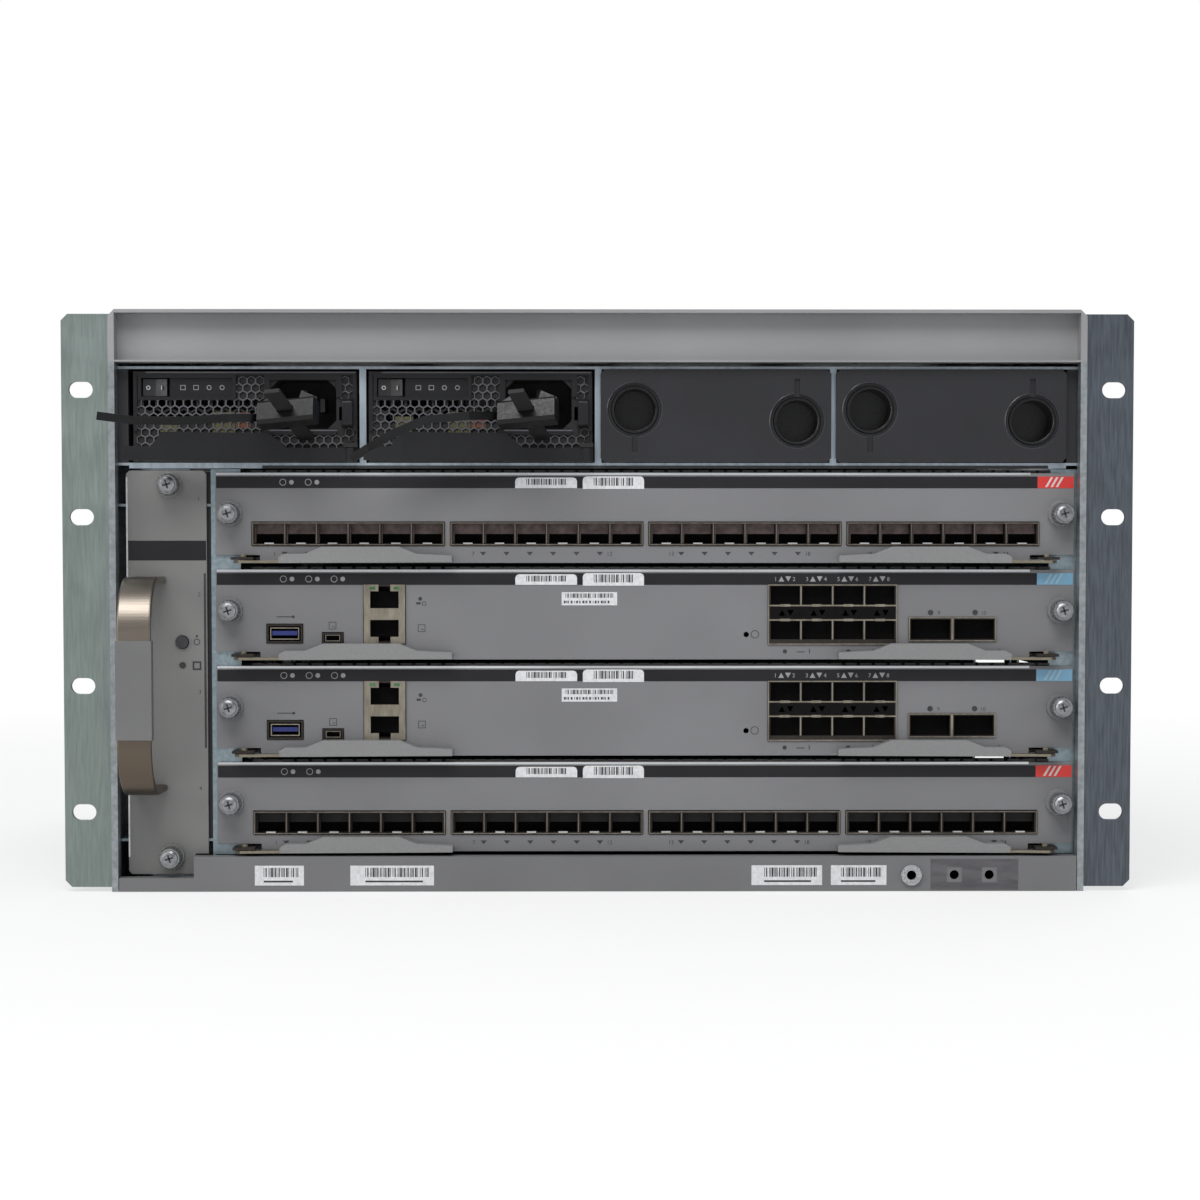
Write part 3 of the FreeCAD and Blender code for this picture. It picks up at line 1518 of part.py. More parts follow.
def build_supply_parts(label, bay):
    """What shows through the face: board, transformer, choke and capacitors."""
    low = supply_low
    board = make_body(f"{label}_pcb", bay_centre(bay), face, low)
    skin = size.supply_wall
    edge = supply_half - skin - size.running_gap
    end = size.supply_depth - skin * 2
    add(board, "front", size.board_start, end,
        rectangle(-edge, edge, skin, skin + size.board_sheet))
    deck = skin + size.board_sheet
    start = size.inlet_depth + size.part_setback
    blocks = {
        "transformer": (size.transformer_left, size.transformer_width, size.transformer_height),
        "choke": (size.choke_left, size.choke_width, size.choke_height),
        "capacitor": (size.capacitor_left, size.capacitor_width, size.capacitor_height),
    }
    solids = [board]
    for name, (left, wide, tall) in blocks.items():
        block = make_body(f"{label}_{name}", bay_centre(bay), face, low)
        add(block, "front", start, start + size.part_depth,
            rectangle(left, left + wide, deck, deck + tall))
        solids.append(block)
    return solids


def place_on_rail(body, bay):
    """Lays local X along the rail, whose root lies in the face of the supply."""
    along = FreeCAD.Vector(size.rail_run_across.value, size.rail_run_deep.value,
                           size.rail_run_up.value)
    turn = FreeCAD.Rotation(along, FreeCAD.Vector(1, 0, 0), FreeCAD.Vector(), "XYZ")
    body.Placement = FreeCAD.Placement(FreeCAD.Vector(), turn)
    place = (bay_centre(bay) + size.rail_root, face, supply_low + size.rail_rise)
    for letter, distance in zip("xyz", place):
        body.setExpression(f"Placement.Base.{letter}", distance.text)


def build_rail(label, bay):
    """Nylon strip that the cord clamp slides along, rooted in the supply's face."""
    body = make_body(label)
    half_thick, half_wide = size.rail_sheet / 2, size.rail_width / 2
    strip = rectangle(size.rail_start, size.rail_length, -half_thick, half_thick)
    add(body, "front", -half_wide, half_wide, strip)
    place_on_rail(body, bay)
    return body


def build_cord_clamp(label, bay, route):
    """Sliding clamp with two wings, and the long cord strap that it holds."""
    body = make_body(f"{label}_block")
    start = size.clamp_place
    end = start + size.clamp_depth
    half_wide, half_high = size.clamp_width / 2, size.clamp_height / 2
    block = clipped(start, end, -half_high, half_high, size.clamp_corner)
    add(body, "front", -half_wide, half_wide, block)
    gap = size.running_gap
    half_rail = size.rail_sheet / 2 + gap
    cut(body, "front", -size.rail_width / 2 - gap, size.rail_width / 2 + gap,
        rectangle(start - gap, end + gap, -half_rail, half_rail))
    wing_start = start + size.wing_setback
    root = half_high - size.wing_root
    for side in (-1, 1):
        wing = [(side * half_wide, root), (side * half_wide, half_high + size.wing_rise)]
        wing += [(side * size.wing_outer, half_high + size.wing_tip)]
        wing += [(side * size.wing_inner, root)]
        add(body, "side", wing_start, wing_start + size.wing_sheet, wing)
    place_on_rail(body, bay)
    strap = build_strap(f"{label}_strap", route)
    joined = doc.addObject("Part::Fuse", f"{label}")
    joined.Label = label
    joined.Base = body
    joined.Tool = strap
    return joined


def build_strap(label, route):
    """Flat nylon strap: upright sections along its route, joined by flat faces."""
    points = [FreeCAD.Vector(*point) for point in route]
    half_wide, half_thick = size.strap_width.value / 2, size.strap_sheet.value / 2
    sections = []
    for index, point in enumerate(points):
        before = points[max(index - 1, 0)]
        after = points[min(index + 1, len(points) - 1)]
        along = (after - before).normalize()
        flat = along.cross(FreeCAD.Vector(0, 0, 1)).normalize()
        upright = flat.cross(along).normalize()
        corners = []
        for wide, thick in ((-1, -1), (1, -1), (1, 1), (-1, 1)):
            corners.append(point + upright * wide * half_wide + flat * thick * half_thick)
        sections.append(Part.makePolygon(corners + corners[:1]))
    strap = doc.addObject("Part::Feature", label)
    strap.Shape = Part.makeLoft(sections, True, True)
    return strap


def build_supply_lever(label, bay):
    """Curved pull lever along the foot of the supply, on an upright pin."""
    body = make_body(label, bay_centre(bay), face, supply_low)
    pivot, forward = size.bar_pivot, size.bar_pivot_forward
    left = -supply_half
    outer, inner = [], []
    steps = 6
    for step in range(steps + 1):
        share = step / steps
        across = pivot + (left - pivot) * share
        bow = forward + (size.bar_standoff - forward) * share ** 2
        outer.append((across, -bow - size.bar_sheet / 2))
        inner.append((across, size.bar_sheet / 2 - bow))
    top = size.bar_height + size.bar_raise
    add(body, "top", 0, top, outer + inner[::-1])
    near, far = size.bar_standoff + size.bar_sheet, size.bar_eye
    low = size.bar_height
    clear = top + size.bar_sheet
    left_end, right_end = left - size.bar_sheet, pivot + size.bar_eye * 2
    left_corner = [(left_end, low), (left + size.bar_ramp_start, low)]
    left_corner += [(left + size.bar_ramp_end, top), (left + size.bar_ramp_end, clear)]
    left_corner += [(left_end, clear)]
    right_corner = [(right_end, low), (right_end, clear), (left + size.bar_drop_start, clear)]
    right_corner += [(left + size.bar_drop_start, top), (left + size.bar_drop_end, low)]
    cut(body, "front", -near, far, left_corner, right_corner)
    add(body, "top", 0, low, ring(pivot, -forward, size.bar_eye, 8))
    pin_top = low + size.running_gap + size.supply_face + size.bar_rivet
    add(body, "top", low, pin_top, pin(pivot, -forward, size.bar_pin))
    return body


def build_supply_latch(label, bay):
    """Sideways release tab beside the inlet, on a stem through the face."""
    place = bay_centre(bay) + size.latch_left - supply_half
    body = make_body(label, place, face, supply_low + size.latch_bottom)
    wide, high = size.latch_width, size.latch_height
    slope, tip = size.latch_slope, -size.latch_proud
    profile = [(-size.running_gap, 0), (-size.running_gap, high)]
    profile += [(tip + slope, high), (tip, high - slope), (tip, slope), (tip + slope, 0)]
    add(body, "side", 0, wide, profile)
    left = (wide - size.latch_stem) / 2
    low = (high - size.latch_root) / 2
    add(body, "front", -size.running_gap, size.supply_face + size.latch_reach,
        rectangle(left, left + size.latch_stem, low, low + size.latch_root))
    return body


def build_supply_switch(label, bay):
    """Power rocker, resting on its off side."""
    place = bay_centre(bay) + size.panel_left - supply_half + size.switch_width / 2
    body = make_body(label, place, face + size.switch_pivot, supply_low + panel_low)
    half = size.switch_width / 2 - size.switch_margin
    low = size.running_gap
    high = size.panel_height - size.running_gap
    crest, edge, root = size.switch_crest, size.switch_edge, size.switch_root
    outline = [(-half, -crest), (0, -size.switch_valley), (half, -crest), (half, -edge)]
    outline += [(root, size.switch_foot), (-root, size.switch_foot), (-half, -edge)]
    add(body, "top", low, high, outline)
    add(body, "top", low - size.seat_fit * 2, low, Disc(0, 0, size.switch_pin))
    turn = FreeCAD.Rotation(FreeCAD.Vector(0, 0, 1), size.switch_turn.value)
    body.Placement = FreeCAD.Placement(body.Placement.Base, turn)
    return body


def strap_route(bay, shape):
    """The strap's points, from the clamp's side along its sag to the tip."""
    origin = FreeCAD.Vector(bay_centre(bay).value, face.value, supply_low.value)
    return [tuple(origin + FreeCAD.Vector(*point)) for point in shape]


STRAPS = {
    1: [(10.0, -22.0, 19.0), (-4.0, -34.0, 18.2), (-24.0, -41.0, 16.6), (-44.0, -45.0, 16.8),
        (-58.5, -47.0, 18.6)],
    2: [(10.0, -22.0, 20.0), (-4.0, -38.0, 19.0), (-22.0, -52.0, 16.6), (-36.0, -58.5, 10.0),
        (-46.0, -60.0, 4.0), (-53.2, -59.0, -0.6)],
}


def build_supply(bay):
    name = f"psu_{bay + 1}"
    case = [build_supply_case(f"{name}_case", bay), build_rail(f"{name}_rail", bay)]
    nodes = [gather(f"{name}_body", case + build_supply_parts(name, bay))]
    nodes.append(build_supply_lever(f"{name}_lever", bay))
    nodes.append(build_supply_latch(f"{name}_latch", bay))
    nodes.append(build_supply_switch(f"{name}_switch", bay))
    nodes.append(build_cord_clamp(f"{name}_cord_clamp", bay,
                                  strap_route(bay, STRAPS[bay + 1])))
    return nodes


def build_blank(bay):
    """Moulded filler for an empty bay, with two finger cups."""
    body = make_body(f"blank_cover_{bay + 1}", bay_centre(bay), face, supply_low)
    half, high = size.blank_width / 2, size.blank_height
    back = -size.blank_flange_gap
    flange = clipped(-half, half, 0, high, size.blank_corner)
    add(body, "front", -size.blank_proud, back, flange)
    skin = size.blank_sheet
    inner = half - size.blank_inset
    top = high - size.blank_headroom
    outer = rectangle(-inner, inner, 0, top)
    bore = rectangle(skin - inner, inner - skin, skin, top - skin)
    add(body, "front", back, size.blank_depth, outer, bore)
    cups = [(-half + size.cup_inset, size.cup_rise, -1), (half - size.cup_inset, size.cup_drop, 1)]
    start = -size.blank_proud
    end = start + size.cup_depth
    for across, up, turn in cups:
        add(body, "front", back, end + size.cup_wall,
            ring(across, up, size.cup_bore + size.cup_wall))
        cut(body, "front", start, start + size.cup_step / 2,
            ring(across, up, size.cup_radius))
        cut(body, "front", start, end, ring(across, up, size.cup_bore))
        near = up + turn * size.cup_slot_start
        far = up + turn * (size.cup_radius + size.cup_slot_length)
        half_slot = size.cup_slot_width / 2
        cut(body, "front", start, start + size.cup_step / 2,
            rectangle(across - half_slot, across + half_slot, near, far))
    return body


# --- assembly --------------------------------------------------------------


def build_nodes():
    nodes = [build_chassis_wrap(), build_top_cover(), build_rear_panel(), build_top_bezel()]
    nodes += [build_bottom_bezel(), build_esd_jack(), build_psu_cage(), build_bay_trims()]
    nodes.append(build_rack_ear("rack_ear_left", -1))
    nodes.append(build_rack_ear("rack_ear_right", 1))
    nodes.append(build_ear_screws())
    nodes.append(build_card_guide("card_guide_left", -1, build_tray_runners()))
    nodes.append(build_card_guide("card_guide_right", 1))
    nodes.append(build_backplane())
    nodes += build_line_card(0)
    nodes += build_supervisor(1)
    nodes += build_supervisor(2)
    nodes += build_line_card(3)
    nodes += build_fan_tray()
    nodes += build_supply(0)
    nodes += build_supply(1)
    nodes += [build_blank(2), build_blank(3)]
    return nodes


def check_document():
    """Stops the build when a feature failed or a cut removed nothing."""
    for item in doc.Objects:
        if "Invalid" in item.State or "Error" in item.State:
            raise RuntimeError(f"{item.Name} failed: {item.State}")
        if item.TypeId in ("PartDesign::Pocket", "PartDesign::Groove") and item.BaseFeature:
            if item.Shape.Volume >= item.BaseFeature.Shape.Volume:
                raise RuntimeError(f"{item.Name} removes nothing")


def main():
    nodes = build_nodes()
    doc.recompute()
    check_document()
    os.makedirs("parts", exist_ok=True)
    for node in nodes:
        if node.Shape.isNull() or not node.Shape.isValid():
            raise RuntimeError(f"{node.Label} has no valid shape")
        node.Shape.exportStep(f"parts/{node.Label}.step")


main()
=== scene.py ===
import math

import bmesh
import bpy
from mathutils import Matrix, Vector


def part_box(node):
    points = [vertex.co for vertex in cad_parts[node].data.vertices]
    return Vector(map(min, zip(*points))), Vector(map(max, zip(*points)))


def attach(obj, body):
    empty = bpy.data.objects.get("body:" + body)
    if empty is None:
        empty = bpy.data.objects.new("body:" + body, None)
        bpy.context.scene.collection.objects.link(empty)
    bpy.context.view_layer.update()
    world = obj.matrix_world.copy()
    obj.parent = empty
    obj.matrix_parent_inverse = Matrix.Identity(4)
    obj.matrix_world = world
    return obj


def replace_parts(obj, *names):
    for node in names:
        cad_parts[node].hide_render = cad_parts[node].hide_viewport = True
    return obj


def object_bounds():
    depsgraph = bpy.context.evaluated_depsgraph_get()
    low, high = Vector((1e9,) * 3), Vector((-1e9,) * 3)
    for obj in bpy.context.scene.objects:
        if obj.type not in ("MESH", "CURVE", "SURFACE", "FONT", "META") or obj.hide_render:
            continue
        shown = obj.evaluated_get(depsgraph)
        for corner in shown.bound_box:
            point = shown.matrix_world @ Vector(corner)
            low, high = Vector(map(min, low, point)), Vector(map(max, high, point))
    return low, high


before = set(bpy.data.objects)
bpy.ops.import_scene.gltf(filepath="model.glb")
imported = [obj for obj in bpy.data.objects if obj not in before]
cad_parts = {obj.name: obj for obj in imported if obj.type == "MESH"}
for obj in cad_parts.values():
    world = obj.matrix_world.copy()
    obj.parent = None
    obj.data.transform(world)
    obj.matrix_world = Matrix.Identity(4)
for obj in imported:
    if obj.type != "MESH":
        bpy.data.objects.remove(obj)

size_at_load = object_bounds()
mm = 0.001


# The room: a plain pale floor under a white room, a long lens straight in front of the
# rack posts and a little above the middle of the chassis, and soft light from large
# panels above, beside and behind, the left one stronger than the right.
def link_object(name, data):
    """A new object at the origin, in the scene."""
    made = bpy.data.objects.new(name, data)
    bpy.context.scene.collection.objects.link(made)
    return made


def add_node(tree, kind, inputs=None, operation=None):
    """A node with its inputs: a socket is linked to its place, and a plain value set."""
    node = tree.nodes.new(kind)
    if operation:
        node.operation = operation
    for place, value in (inputs or {}).items():
        if isinstance(value, bpy.types.NodeSocket):
            tree.links.new(value, node.inputs[place])
        else:
            node.inputs[place].default_value = value
    return node


def white_to_the_eye(tree, lit, white):
    """Mixes what lights the object with the white that the eye, metal and glass see."""
    rays = add_node(tree, "ShaderNodeLightPath").outputs
    seen = rays["Is Camera Ray"]
    for name in ("Is Glossy Ray", "Is Transmission Ray"):
        either = add_node(tree, "ShaderNodeMath", {0: seen, 1: rays[name]}, "MAXIMUM")
        seen = either.outputs["Value"]
    mix = add_node(tree, "ShaderNodeMixShader", {"Fac": seen, 1: lit, 2: white})
    return mix.outputs["Shader"]


posts_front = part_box("rack_ear_left")[0].y
eye_distance = 1.218
eye_height = 0.1535
look_down = math.radians(2.6)
look_right = math.radians(0.44)
camera_data = bpy.data.cameras.new("front_camera")
camera_data.lens = 80.9
camera_data.sensor_width = 36.0
camera_data.shift_x = -0.0132
camera_data.shift_y = 0.0622
camera = link_object("front_camera", camera_data)
camera.location = (-0.0014, posts_front - eye_distance, eye_height)
camera.rotation_euler = (math.pi / 2 - look_down, 0, -look_right)
bpy.context.scene.camera = camera
bpy.context.scene.view_settings.view_transform = "Standard"

world = bpy.data.worlds.new("white_room")
bpy.context.scene.world = world
world.use_nodes = True
room = world.node_tree
room_light = room.nodes["Background"]
room_light.inputs["Color"].default_value = (0.93, 0.96, 1.0, 1.0)
room_light.inputs["Strength"].default_value = 0.42
room_white = add_node(room, "ShaderNodeBackground",
                      {"Color": (1.0, 1.0, 1.0, 1.0), "Strength": 1.0})
room_rays = add_node(room, "ShaderNodeLightPath")
room_mix = add_node(room, "ShaderNodeMixShader", {"Fac": room_rays.outputs["Is Camera Ray"],
                                                  1: room_light.outputs["Background"],
                                                  2: room_white.outputs["Background"]})
room.links.new(room_mix.outputs["Shader"], room.nodes["World Output"].inputs["Surface"])

floor_reach = 30.0
floor_level = size_at_load[0].z - 0.2 * mm
floor_mesh = bpy.data.meshes.new("floor")
floor_mesh.from_pydata([(x * floor_reach, y * floor_reach, floor_level)
                        for x, y in ((-1, -1), (1, -1), (1, 1), (-1, 1))], [], [(0, 1, 2, 3)])
floor_finish = bpy.data.materials.new("pale_floor")
floor_finish.use_nodes = True
floor_tree = floor_finish.node_tree
floor_shader = floor_tree.nodes["Principled BSDF"]
floor_shader.inputs["Base Color"].default_value = (0.86, 0.86, 0.86, 1)
floor_shader.inputs["Roughness"].default_value = 0.9
floor_shader.inputs["Specular IOR Level"].default_value = 0.1
floor_glow = add_node(floor_tree, "ShaderNodeEmission", {"Strength": 1.0})
floor_place = add_node(floor_tree, "ShaderNodeTexCoord")
floor_distance = add_node(floor_tree, "ShaderNodeVectorMath",
                          {0: floor_place.outputs["Object"]}, "LENGTH")
floor_fade = add_node(floor_tree, "ShaderNodeMapRange",
                      {"Value": floor_distance.outputs["Value"], "From Min": 0.3,
                       "From Max": 1.3, "To Min": 0.62, "To Max": 1.0})
floor_part = add_node(floor_tree, "ShaderNodeMixShader",
                      {"Fac": floor_fade.outputs["Result"], 1: floor_shader.outputs["BSDF"],
                       2: floor_glow.outputs["Emission"]})
floor_tree.links.new(
    white_to_the_eye(floor_tree, floor_shader.outputs["BSDF"], floor_part.outputs["Shader"]),
    floor_tree.nodes["Material Output"].inputs["Surface"])
floor_mesh.materials.append(floor_finish)
link_object("floor", floor_mesh)


def add_panel_light(name, place, width, height, power, tone):
    """A soft light panel that faces the middle of the chassis."""
    data = bpy.data.lights.new(name, "AREA")
    data.shape = "RECTANGLE"
    data.size, data.size_y = width, height
    data.energy = power
    data.color = tone
    lamp = link_object(name, data)
    lamp.location = place
    aim = Vector((0, -0.1, 0.13)) - Vector(place)
    lamp.rotation_euler = aim.to_track_quat("-Z", "Y").to_euler()


add_panel_light("panel_above", (-0.35, -1.5, 1.75), 1.6, 0.9, 34, (1.0, 1.0, 1.0))
add_panel_light("panel_left", (-1.9, -1.3, 0.7), 0.9, 1.2, 12, (1.0, 0.98, 0.95))
add_panel_light("panel_right", (1.9, -1.4, 0.5), 0.9, 1.2, 4, (0.9, 0.95, 1.0))
add_panel_light("panel_behind", (0.8, 1.9, 1.5), 1.4, 0.9, 16, (1.0, 1.0, 1.0))


# The chassis shell: floor and walls folded from one zinc-plated sheet, with a cover and
# a rear panel screwed on. The plating is dull, with faint rolling streaks along the
# depth and cloudy spangles.
def colour(red, green, blue):
    """A colour on the 0 to 255 scale of a paint chart, made linear for the shader."""
    shares = [value / 255 for value in (red, green, blue)]
    linear = [share / 12.92 if share <= 0.04045 else ((share + 0.055) / 1.055) ** 2.4
              for share in shares]
    return (*linear, 1.0)


def start_finish(name, roughness, metallic=0.0, specular=0.5):
    """A material with its shader, and the place on the object that its patterns read."""
    material = bpy.data.materials.new(name)
    material.use_nodes = True
    tree = material.node_tree
    shader = tree.nodes["Principled BSDF"]
    shader.inputs["Roughness"].default_value = roughness
    shader.inputs["Metallic"].default_value = metallic
    shader.inputs["Specular IOR Level"].default_value = specular
    return material, tree, shader, add_node(tree, "ShaderNodeTexCoord").outputs["Object"]


def grain(tree, place, scale, stretch=(1, 1, 1), detail=3.0):
    """Noise over the piece. A low stretch along an axis draws it out into streaks."""
    mapping = add_node(tree, "ShaderNodeMapping", {"Vector": place, "Scale": stretch})
    noise = add_node(tree, "ShaderNodeTexNoise", {"Vector": mapping.outputs["Vector"],
                                                  "Scale": scale, "Detail": detail})
    return noise.outputs["Fac"]


def grade(tree, factor, tones, shader, stops=(0.3, 0.7)):
    """Paint-chart colours along a factor, as the shader's base colour."""
    ramp = add_node(tree, "ShaderNodeValToRGB", {"Fac": factor})
    elements = ramp.color_ramp.elements
    while len(elements) < len(stops):
        elements.new(0.5)
    for element, stop, tone in zip(elements, stops, tones):
        element.position = stop
        element.color = colour(*tone)
    tree.links.new(ramp.outputs["Color"], shader.inputs["Base Color"])


def vary_roughness(tree, factor, low, high, shader):
    """Roughness that runs between two values over most of a noise's range."""
    spread = add_node(tree, "ShaderNodeMapRange", {"Value": factor, "From Min": 0.3,
                                                   "From Max": 0.7, "To Min": low,
                                                   "To Max": high})
    tree.links.new(spread.outputs["Result"], shader.inputs["Roughness"])


def add_relief(tree, factor, strength, depth, shader):
    """Fine relief from a noise, its depth in millimetres."""
    bump = add_node(tree, "ShaderNodeBump", {"Height": factor, "Strength": strength,
                                             "Distance": depth * mm})
    tree.links.new(bump.outputs["Normal"], shader.inputs["Normal"])


def zinc_finish(name, dark, light, streaks, roughness=0.42, scale=420.0, metallic=0.85):
    """Zinc coat: streaks from the rolls or the brush, over cloudy spangles."""
    material, tree, shader, place = start_finish(name, roughness, metallic)
    lines = grain(tree, place, scale, streaks, 4.0)
    grade(tree, lines, (dark, light), shader, (0.32, 0.68))
    clouds = grain(tree, place, 55.0)
    vary_roughness(tree, clouds, roughness - 0.08, roughness + 0.1, shader)
    add_relief(tree, lines, 0.12, 0.1, shader)
    return material


def dress(material, *names):
    """Gives CAD nodes their finish."""
    for name in names:
        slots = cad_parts[name].material_slots
        if slots:
            for place in slots:
                place.material = material
        else:
            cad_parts[name].data.materials.append(material)


along_depth = (1, 0.05, 1)
shell_zinc = zinc_finish("shell_zinc", (138, 143, 146), (162, 167, 170), along_depth)
bay_zinc = zinc_finish("bay_zinc", (150, 160, 169), (172, 182, 190), (1, 1, 0.1))
guide_zinc = zinc_finish("guide_zinc", (128, 142, 148), (150, 164, 170), along_depth)
frame_zinc = zinc_finish("frame_zinc", (70, 74, 76), (88, 92, 94), along_depth, 0.6,
                         metallic=0.4)
dress(shell_zinc, "chassis_wrap", "top_cover", "rear_panel")
dress(frame_zinc, "fan_tray_frame")
dress(guide_zinc, "card_guide_left", "card_guide_right")
dress(bay_zinc, "psu_cage")


# Pan-head screws hold the cover and the rear panel, in two rows each: one steel head,
# turned with a domed crown, and repeated by a tree of points.
def place_piece(name, mesh, material, body):
    """Links a finished mesh, gives it its material and lets it ride on its body."""
    mesh.materials.clear()
    mesh.materials.append(material)
    piece = link_object(name, mesh)
    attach(piece, body)
    return piece


def take_mesh(name, bm):
    """The plain mesh of what was built, which is then let go."""
    mesh = bpy.data.meshes.new(name)
    bm.to_mesh(mesh)
    bm.free()
    return mesh


def finish_piece(name, bm, material, body):
    """Turns the faces outwards, and places the piece."""
    bmesh.ops.recalc_face_normals(bm, faces=bm.faces)
    return place_piece(name, take_mesh(name, bm), material, body)


def bake_modifiers(holder):
    """The evaluated mesh of a holder object, which is then removed."""
    graph = bpy.context.evaluated_depsgraph_get()
    graph.update()
    mesh = bpy.data.meshes.new_from_object(holder.evaluated_get(graph))
    bpy.data.objects.remove(holder)
    return mesh


def start_tree(name, kinds):
    """An empty geometry tree with its named inputs, and one result."""
    tree = bpy.data.node_groups.new(name, "GeometryNodeTree")
    for label, kind in kinds.items():
        tree.interface.new_socket(label, in_out="INPUT", socket_type=f"NodeSocket{kind}")
    tree.interface.new_socket("Result", in_out="OUTPUT", socket_type="NodeSocketGeometry")
    return tree, add_node(tree, "NodeGroupInput").outputs


def end_tree(tree, source, count, place, kept=True, weld=0.0):
    """Sets the tree's piece on each kept point, makes the copies real and paints them."""
    points = add_node(tree, "GeometryNodePoints", {"Count": count, "Position": place})
    copies = add_node(tree, "GeometryNodeInstanceOnPoints",
                      {"Points": points.outputs["Points"], "Selection": kept,
                       "Instance": source["Piece"]})
    shape = add_node(tree, "GeometryNodeRealizeInstances",
                     {"Geometry": copies.outputs["Instances"]}).outputs["Geometry"]
    if weld:
        shape = add_node(tree, "GeometryNodeMergeByDistance",
                         {"Geometry": shape, "Distance": weld}).outputs["Geometry"]
    paint = add_node(tree, "GeometryNodeSetMaterial",
                     {"Geometry": shape, "Material": source["Material"]})
    add_node(tree, "NodeGroupOutput", {"Result": paint.outputs["Geometry"]})


def run_tree(tree, bm, values):
    """The mesh that a tree makes of one small piece, with these values of its inputs."""
    holder = link_object("one_piece", take_mesh("one_piece", bm))
    modifier = holder.modifiers.new("repeat", "NODES")
    modifier.node_group = tree
    for socket in tree.interface.items_tree:
        if socket.item_type == "SOCKET" and socket.name in values:
            modifier[socket.identifier] = values[socket.name]
    return bake_modifiers(holder)


row_tree, row_source = start_tree("row_of_one_piece", {
    "Piece": "Geometry", "Count": "Int", "Step": "Vector", "Material": "Material"})
row_index = add_node(row_tree, "GeometryNodeInputIndex").outputs["Index"]
row_place = add_node(row_tree, "ShaderNodeVectorMath",
                     {0: row_source["Step"], "Scale": row_index}, "SCALE")
end_tree(row_tree, row_source, row_source["Count"], row_place.outputs["Vector"])


def repeat_piece(bm, material, count, step):
    """The mesh of one small piece repeated in a row, step by step."""
    bmesh.ops.recalc_face_normals(bm, faces=bm.faces)
    return run_tree(row_tree, bm, {"Count": count, "Step": step, "Material": material})


def join_meshes(meshes):
    """One mesh to build on, of several."""
    bm = bmesh.new()
    for mesh in meshes:
        bm.from_mesh(mesh)
        bpy.data.meshes.remove(mesh)
    return bm


def bridge(bm, rings):
    """Faces from each closed ring of points to the next."""
    for near, far in zip(rings, rings[1:]):
        for index in range(len(near)):
            follow = (index + 1) % len(near)
            bm.faces.new((near[index], near[follow], far[follow], far[index]))


def turned_piece(bm, centre, axis, profile, sides, flute=0.0):
    """A lathe shape: rings of (place along the axis, radius). Flutes knurl the widest."""
    widest = max(radius for _, radius in profile)
    turn = Vector((0, 0, 1)).rotation_difference(Vector(axis)).to_matrix()
    rings = []
    for along, radius in profile:
        ring = []
        for side in range(sides):
            angle = 2 * math.pi * side / sides
            reach = radius - flute if radius > widest * 0.97 and side % 2 else radius
            point = Vector((reach * math.cos(angle), reach * math.sin(angle), along)) * mm
            ring.append(bm.verts.new(Vector(centre) + turn @ point))
        rings.append(ring)
    bridge(bm, rings)
    bm.faces.new(rings[0][::-1])
    bm.faces.new(rings[-1])


def speckled_finish(name, dark, light, scale, roughness, metallic=0.0, specular=0.5,
                    stretch=(1, 1, 1), stops=(0.3, 0.7), spread=None, relief=None):
    """A tone with fine specks, for a small part, which may also vary its roughness."""
    material, tree, shader, place = start_finish(name, roughness, metallic, specular)
    specks = grain(tree, place, scale, stretch)
    grade(tree, specks, (dark, light), shader, stops)
    if spread:
        vary_roughness(tree, specks, *spread, shader)
    if relief:
        add_relief(tree, specks, *relief, shader)
    return material


screw_steel = speckled_finish("screw_steel", (150, 152, 154), (196, 198, 200), 900.0, 0.3,
                              0.95, stops=(0.35, 0.65), spread=(0.24, 0.4))
head_profile = [(-0.2, 3.0), (0.3, 3.0), (0.8, 2.3), (1.0, 1.2)]


def screw_row(start, axis, count, step):
    """Heads in a row from a first place, their crowns along an axis."""
    head = bmesh.new()
    turned_piece(head, start, axis, head_profile, 12)
    return repeat_piece(head, screw_steel, count, step)


cover_low, cover_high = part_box("top_cover")
side_inset, end_inset, cover_count = 9 * mm, 30 * mm, 5
cover_pitch = (cover_high.y - cover_low.y - 2 * end_inset) / (cover_count - 1)
cover_screws = [screw_row((side * (cover_high.x - side_inset), cover_low.y + end_inset,
                           cover_high.z), (0, 0, 1), cover_count, (0, cover_pitch, 0))
                for side in (-1, 1)]
finish_piece("cover_screws", join_meshes(cover_screws), screw_steel, "chassis")

panel_low, panel_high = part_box("rear_panel")
corner_inset, panel_count = 12 * mm, 7
panel_pitch = (panel_high.x - panel_low.x - 2 * corner_inset) / (panel_count - 1)
panel_screws = [screw_row((panel_low.x + corner_inset, panel_high.y, height), (0, 1, 0),
                          panel_count, (panel_pitch, 0, 0))
                for height in (panel_low.z + 8 * mm, panel_high.z - 6 * mm)]
finish_piece("panel_screws", join_meshes(panel_screws), screw_steel, "chassis")
dress(screw_steel, "ear_screws", "esd_jack")


# The rack ears: thicker zinc-plated angles, brushed upright. The left one is painted lighter
# as painted light, and the right one darker and bluish as painted shade. Their edges are
# broken by the press, so each is a softened copy of its node.
def soften(name, edge, material, body, segments=2):
    """A copy of a CAD node with its edges rounded by so many millimetres, in its place."""
    bm = bmesh.new()
    bm.from_mesh(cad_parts[name].data)
    bmesh.ops.remove_doubles(bm, verts=bm.verts, dist=0.002 * mm)
    bmesh.ops.dissolve_limit(bm, angle_limit=math.radians(1.0), verts=bm.verts, edges=bm.edges)
    holder = link_object(name, take_mesh(name, bm))
    bevel = holder.modifiers.new("broken_edges", "BEVEL")
    bevel.width = edge * mm
    bevel.segments = segments
    bevel.limit_method = "ANGLE"
    bevel.angle_limit = math.radians(32)
    piece = place_piece(f"{name}_softened", bake_modifiers(holder), material, body)
    for face in piece.data.polygons:
        face.use_smooth = False
    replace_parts(piece, name)


